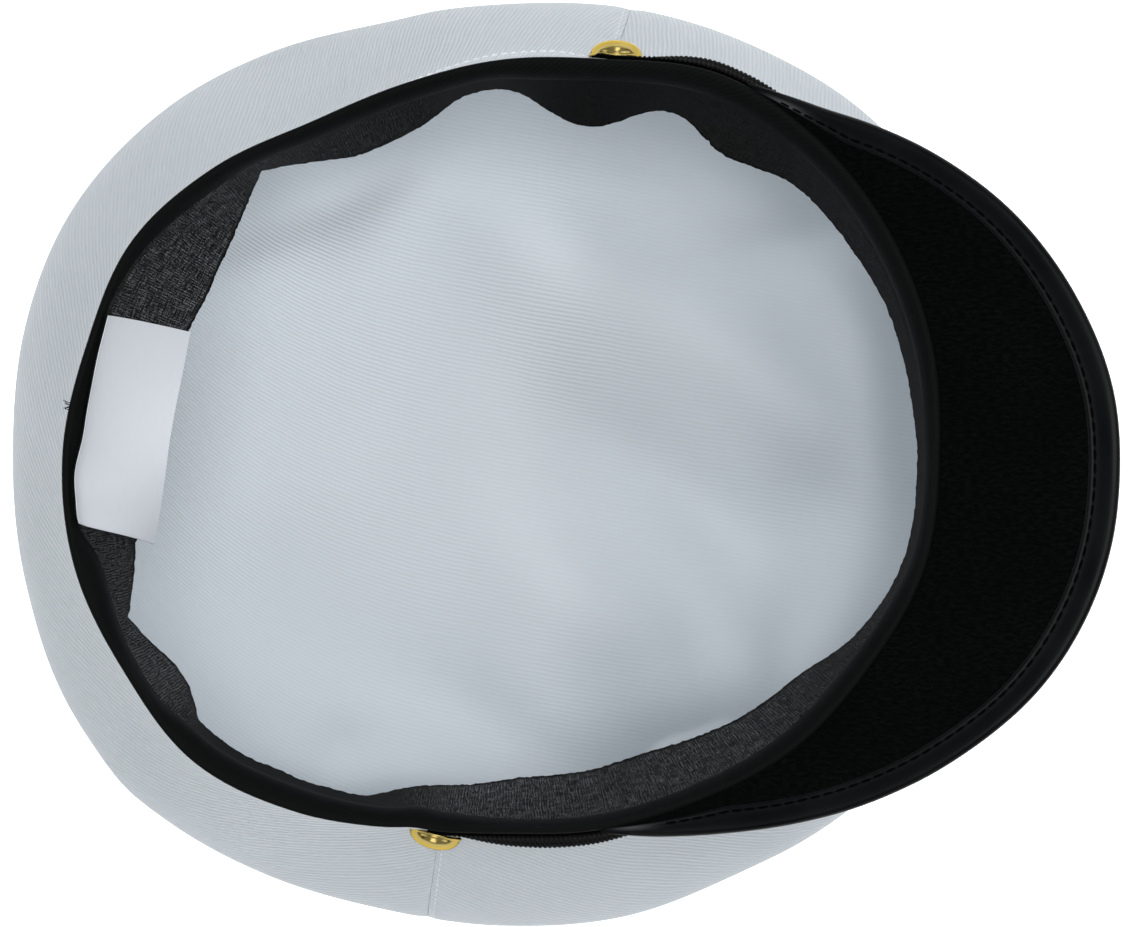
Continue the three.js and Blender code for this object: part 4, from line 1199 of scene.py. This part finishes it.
def front_strap():
    # how far it runs on behind each button's centre
    past_right, past_left = 2.0, 5.4
    start = SEAM["button_back"] - 360 - math.degrees(past_right / 90)
    stop = SEAM["button_front"] + math.degrees(past_left / 90)
    fine = np.linspace(start, stop, 4000)
    length = run_length(fine) - run_length(start)
    pitch, samples = 1.05, 6
    n = int(length[-1] / pitch * samples)
    s = np.linspace(0, length[-1], n)
    deg = np.interp(s, length, fine)
    out = along(STRAP_OUT, 1, deg)
    z = rim_z(deg) - STRAP["top"]
    # each end narrows to a thin tongue that the button holds down
    right = s < length[-1] / 2
    past = np.where(right, past_right, past_left)
    from_button = np.where(right, s, length[-1] - s) - past
    free = smooth((from_button + past) / 1.6, 0, 1)
    plaited = 0.15 + 0.85 * smooth(from_button, 2.0, 6.5)
    wide = STRAP["wide"] * (0.72 + 0.28 * free)
    thick = STRAP["tongue"] + (STRAP["thick"] - STRAP["tongue"]) * free
    rows = []
    vs = []
    face_v = np.linspace(-1, 1, 15)
    wave = np.cos(2 * np.pi * s / pitch)
    for v in face_v:
        # two plaits side by side, each a run of slanted strands
        half = abs(v)
        lean = 2 * np.pi * (s / pitch + np.sign(v) * -0.55 * half * 2)
        strand = 0.22 * np.cos(lean) * (1 - 0.55 * np.exp(-((v / 0.12) ** 2))) * plaited
        dome = math.sqrt(max(0.0, 1 - half**4)) * thick * 0.5
        valley = -0.30 * math.exp(-((v / 0.10) ** 2)) * free
        h = (v + 1) / 2 * wide
        edge_out = 0.30 * wave * (v > 0.9)
        wall_r, _ = side_point(deg, np.clip((STRAP["top"] + h - TAPE_CAP - GAP) / (rim_z(deg) - TAPE_CAP - GAP - crown_z(deg)), 0, 1))
        swing = out - thick + 0.1 + (0.2 - out) * (1 - h / wide) ** 1.3
        base = wall_r + 0.12 + np.maximum(0, rim_r(deg) + swing - wall_r - 0.12) * free
        rows.append(place(deg, base + thick * 0.5 + dome + strand + valley, z - h - edge_out * np.sign(v)))
        vs.append((v + 1) / 2 * STRAP["wide"])
    back = []
    for v in face_v[::-1]:
        half = abs(v)
        dome = math.sqrt(max(0.0, 1 - half**4)) * thick * 0.5
        h = (v + 1) / 2 * wide
        wall_r, _ = side_point(deg, np.clip((STRAP["top"] + h - TAPE_CAP - GAP) / (rim_z(deg) - TAPE_CAP - GAP - crown_z(deg)), 0, 1))
        swing = out - thick + 0.1 + (0.2 - out) * (1 - h / wide) ** 1.3
        base = wall_r + 0.12 + np.maximum(0, rim_r(deg) + swing - wall_r - 0.12) * free
        back.append(place(deg, base + thick * 0.5 - dome, z - h))
        vs.append((v + 1) / 2 * STRAP["wide"])
    P = np.concatenate([np.stack(rows, 1), np.stack(back, 1)], 1)
    vv = np.array(vs + [vs[0]])
    maps = {"cloth": np.stack(np.broadcast_arrays(s[:, None], vv[None, :]), -1)}
    pts, faces, maps = loft(P, False, True, maps)
    ob = make_mesh("front_strap_braid", pts, faces, maps, black_braid, sharp=None)
    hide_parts("front_strap")
    return ob


strap_ob = front_strap()


# ---------------------------------------------------------------- buttons

def button(name, node, deg, swivel, off):
    low, high = (np.array(p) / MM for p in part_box(node))
    centre = (low + high) / 2
    ahead = place(deg + 3, rim_r(deg + 3), 0.0)
    behind = place(deg - 3, rim_r(deg - 3), 0.0)
    normal = np.array([ahead[1] - behind[1], behind[0] - ahead[0], 0.0])
    normal /= np.linalg.norm(normal)
    c, s = math.cos(math.radians(swivel)), math.sin(math.radians(swivel))
    normal = np.array([normal[0] * c - normal[1] * s, normal[0] * s + normal[1] * c, 0.0])
    side = np.cross([0, 0, 1.0], normal)
    up = np.array([0, 0, 1.0])
    radius, depth = BUTTON["radius"], BUTTON["foot"] + BUTTON["dome"]
    base = place(deg, rim_r(deg), 0.0) + np.array([0, 0, centre[2]]) + normal * off
    q = np.linspace(0, 2 * np.pi, 96, endpoint=False)
    brim = radius - 0.34
    profile = [(0.05, 0.12), (radius - 2.4, 0.12), (radius - 0.9, 0.05), (brim, 0.0), (radius - 0.10, 0.12), (radius, 0.30), (radius - 0.03, 0.46), (radius - 0.18, 0.58), (brim, 0.66)]
    for a in np.linspace(6, 90, 22):
        profile.append((brim * math.cos(math.radians(a)) ** 0.92 if a < 90 else 0.05, 0.60 + (depth - 0.60) * math.sin(math.radians(a))))
    rows = np.stack([base + normal * h + r * (np.cos(q)[:, None] * side + np.sin(q)[:, None] * up) for r, h in profile], 1)
    pts, faces, _ = loft(rows, True, False)
    m = rows.shape[1]
    n = len(q)
    i = np.arange(n)
    pts = np.concatenate([pts, rows[:, 0].mean(0)[None], rows[:, -1].mean(0)[None]])
    quads = faces
    f0 = np.stack([i * m, (i + 1) % n * m, np.full(n, n * m)], 1)
    f1 = np.stack([(i + 1) % n * m + m - 1, i * m + m - 1, np.full(n, n * m + 1)], 1)
    for tri, want in ((f0, -1), (f1, 1)):
        p = pts[tri]
        if (np.cross(p[:, 1] - p[:, 0], p[:, 2] - p[:, 0]).mean(0) @ normal) * want < 0:
            tri[:] = tri[:, ::-1].copy()
    p = pts[quads]
    c = pts.mean(0)
    out = np.einsum("ij,ij->i", np.cross(p[:, 1] - p[:, 0], p[:, 2] - p[:, 0]), p.mean(1) - c).sum()
    if out < 0:
        quads = quads[:, ::-1]
    ob = make_mesh(name, pts, [quads, f0, f1], None, gold_plate, sharp=None)
    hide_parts(node)
    return ob


button_left = button("button_left_dome", "button_left", SEAM["button_front"], 1.0, 0.85)
button_right = button("button_right_dome", "button_right", SEAM["button_back"], -12.0, 0.55)


# ---------------------------------------------------------------- threads

def hem_stitches():
    """A row of white stitches round the outside of the rim."""
    deg = np.linspace(SEAM["front"] + 3.8, SEAM["back"] - 4.2, 2400)
    r, z = side_point(deg, np.full(deg.shape, 0.115))
    line = place(deg, r + 0.10, z)
    a, b = arc_steps(line, 0.4, 1.55, 0.65)
    out = a - np.array([AXIS[0], AXIS[1], 0])
    out[:, 2] = 0
    out /= np.linalg.norm(out, axis=1, keepdims=True)
    pts, faces, _ = capsules(a, b, 0.20, ups=out)
    ob = make_mesh("hem_stitches", pts, faces, None, white_thread, sharp=None)
    return ob


def seam_stitches(name, deg0, off):
    """Stitches down one side seam."""
    down = np.linspace(0.26, 0.97, 400)
    r, z = side_point(np.full(down.shape, deg0 + off), down)
    line = place(deg0 + off, r + 0.08, z)
    a, b = arc_steps(line, 0.4, 1.3, 0.9)
    out = a - np.array([AXIS[0], AXIS[1], 0])
    out[:, 2] = 0
    out /= np.linalg.norm(out, axis=1, keepdims=True)
    pts, faces, _ = capsules(a, b, 0.13, ups=out)
    ob = make_mesh(name, pts, faces, None, white_thread, sharp=None)
    return ob


def loose_threads():
    """A few frayed ends of the tape's edge at the back."""
    rng = np.random.default_rng(8)
    parts = []
    for k in range(7):
        deg = 173.6 + 0.5 * (k - 3) / 3 + rng.uniform(-0.1, 0.1)
        s = np.linspace(0, 1, 12)
        reach, slip, up = rng.uniform(0.7, 1.6), rng.uniform(-0.012, 0.012), rng.uniform(-0.4, 0.5)
        path = place(deg + np.degrees(slip) * s**2, rim_r(deg) - 0.35 + (reach + 0.35) * s, rim_z(deg) - 0.25 + up * s - 0.9 * s**3)
        parts.append(tube(path, 0.10 - 0.02 * s, 6))
    pts, faces, _ = joined(parts)
    ob = make_mesh("loose_threads", pts, faces, None, black_thread, sharp=None)
    return ob


threads_ob = loose_threads()
hem_ob = hem_stitches()
seam_a = seam_stitches("seam_stitches_left", SEAM["front"], 0.75)
seam_b = seam_stitches("seam_stitches_right", SEAM["back"], 0.75)


# ---------------------------------------------------------------- floor, light and camera

def stage():
    bpy.ops.mesh.primitive_circle_add(vertices=96, radius=6.0, fill_type="NGON", location=(0, 0, 0))
    floor = bpy.context.object
    floor.name = "floor"
    floor.data.materials.append(pale("pale_floor", (0.90, 0.90, 0.90), 0.50))

    world = bpy.data.worlds.new("studio")
    bpy.context.scene.world = world
    world.use_nodes = True
    t = world.node_tree
    bg = t.nodes["Background"]
    # pale at the horizon, dim above it, so that gloss and gold have something dark to show
    way = t.nodes.new("ShaderNodeTexCoord")
    split = t.nodes.new("ShaderNodeSeparateXYZ")
    tall = t.nodes.new("ShaderNodeValToRGB")
    t.links.new(way.outputs["Generated"], split.inputs[0])
    t.links.new(split.outputs[2], tall.inputs[0])
    stops = [(0.0, 0.95), (0.045, 0.95), (0.085, 0.14), (0.45, 0.07), (0.80, 0.10), (1.0, 0.20)]
    ramp = tall.color_ramp
    while len(ramp.elements) < len(stops):
        ramp.elements.new(0.5)
    for e, (at, v) in zip(ramp.elements, stops):
        e.position = at
        e.color = (v * 0.97, v * 0.985, v, 1)
    t.links.new(tall.outputs[0], bg.inputs["Color"])
    bg.inputs["Strength"].default_value = 1.0

    def soft_box(name, where, size, power, tone=(1, 1, 1)):
        light = bpy.data.lights.new(name, "AREA")
        light.shape = "RECTANGLE"
        light.size, light.size_y = size
        light.energy = power
        light.color = tone
        ob = bpy.data.objects.new(name, light)
        bpy.context.scene.collection.objects.link(ob)
        ob.location = where
        d = np.array([0, 0, 0.03]) - np.array(where)
        ob.rotation_mode = "QUATERNION"
        from mathutils import Vector

        ob.rotation_quaternion = Vector(d).to_track_quat("-Z", "Y")
        return ob

    # some lights reach only the inside of the hat, and the low ones all but its top panel
    inside, outside = bpy.data.collections.new("inside"), bpy.data.collections.new("outside")
    for ob in bpy.data.objects:
        if ob.type == "MESH" and not ob.name.startswith(("crown_side", "rim_tape")):
            inside.objects.link(ob)
        if ob.type == "MESH" and not ob.name.startswith("crown_top"):
            outside.objects.link(ob)

    def round_the_hat(name, tilt, turn_to, size, power, shadow=True, seen_in_gloss=True, reaches=None):
        t, a = math.radians(tilt), math.radians(turn_to)
        size = size if isinstance(size, tuple) else (size, size)
        ob = soft_box(name, (2.4 * math.sin(t) * math.cos(a), 2.4 * math.sin(t) * math.sin(a), 2.4 * math.cos(t)), size, power)
        ob.data.use_shadow = shadow
        ob.visible_glossy = seen_in_gloss
        ob.visible_camera = False
        if reaches:
            ob.light_linking.receiver_collection = reaches

    round_the_hat("top", 0, 0, 1.6, 27.0)
    round_the_hat("right", 32, 22, 1.1, 11.4)
    round_the_hat("fill_left", 45, 135, 0.8, 22.0, shadow=False, seen_in_gloss=False, reaches=inside)
    round_the_hat("low_right", 62, 40, 1.1, 6.0, seen_in_gloss=False, reaches=outside)
    round_the_hat("low_front", 62, 278, 1.1, 8.0, seen_in_gloss=False, reaches=outside)
    round_the_hat("low_back", 62, 110, 1.1, 6.0, seen_in_gloss=False, reaches=outside)
    round_the_hat("low_left", 62, 190, 1.1, 5.0, seen_in_gloss=False, reaches=outside)
    # windows that only the two buttons mirror
    domes = bpy.data.collections.new("domes")
    for ob in (button_left, button_right):
        domes.objects.link(ob)
    for face, turn_to in (("back", 88), ("front", 258)):
        for k, (by, tilt, size, power) in enumerate(((-58, 58, (0.75, 1.30), 4.0), (-3, 55, (0.62, 1.70), 8.4), (50, 62, (0.70, 1.10), 3.6))):
            round_the_hat("window_%s_%d" % (face, k), tilt, turn_to + by, size, power, reaches=domes)
        round_the_hat("room_%s" % face, 56, turn_to, 3.4, 11.0, reaches=domes)

    camera = bpy.data.cameras.new("camera")
    camera.sensor_width = 36.0
    camera.lens = 155.7
    camera.clip_start, camera.clip_end = 0.01, 50.0
    cam = bpy.data.objects.new("camera", camera)
    bpy.context.scene.collection.objects.link(cam)
    cam.location = (0.00534, -0.00002, 1.180)
    cam.rotation_euler = (0, 0, 0)
    bpy.context.scene.camera = cam
    bpy.context.scene.view_settings.view_transform = "Standard"


stage()
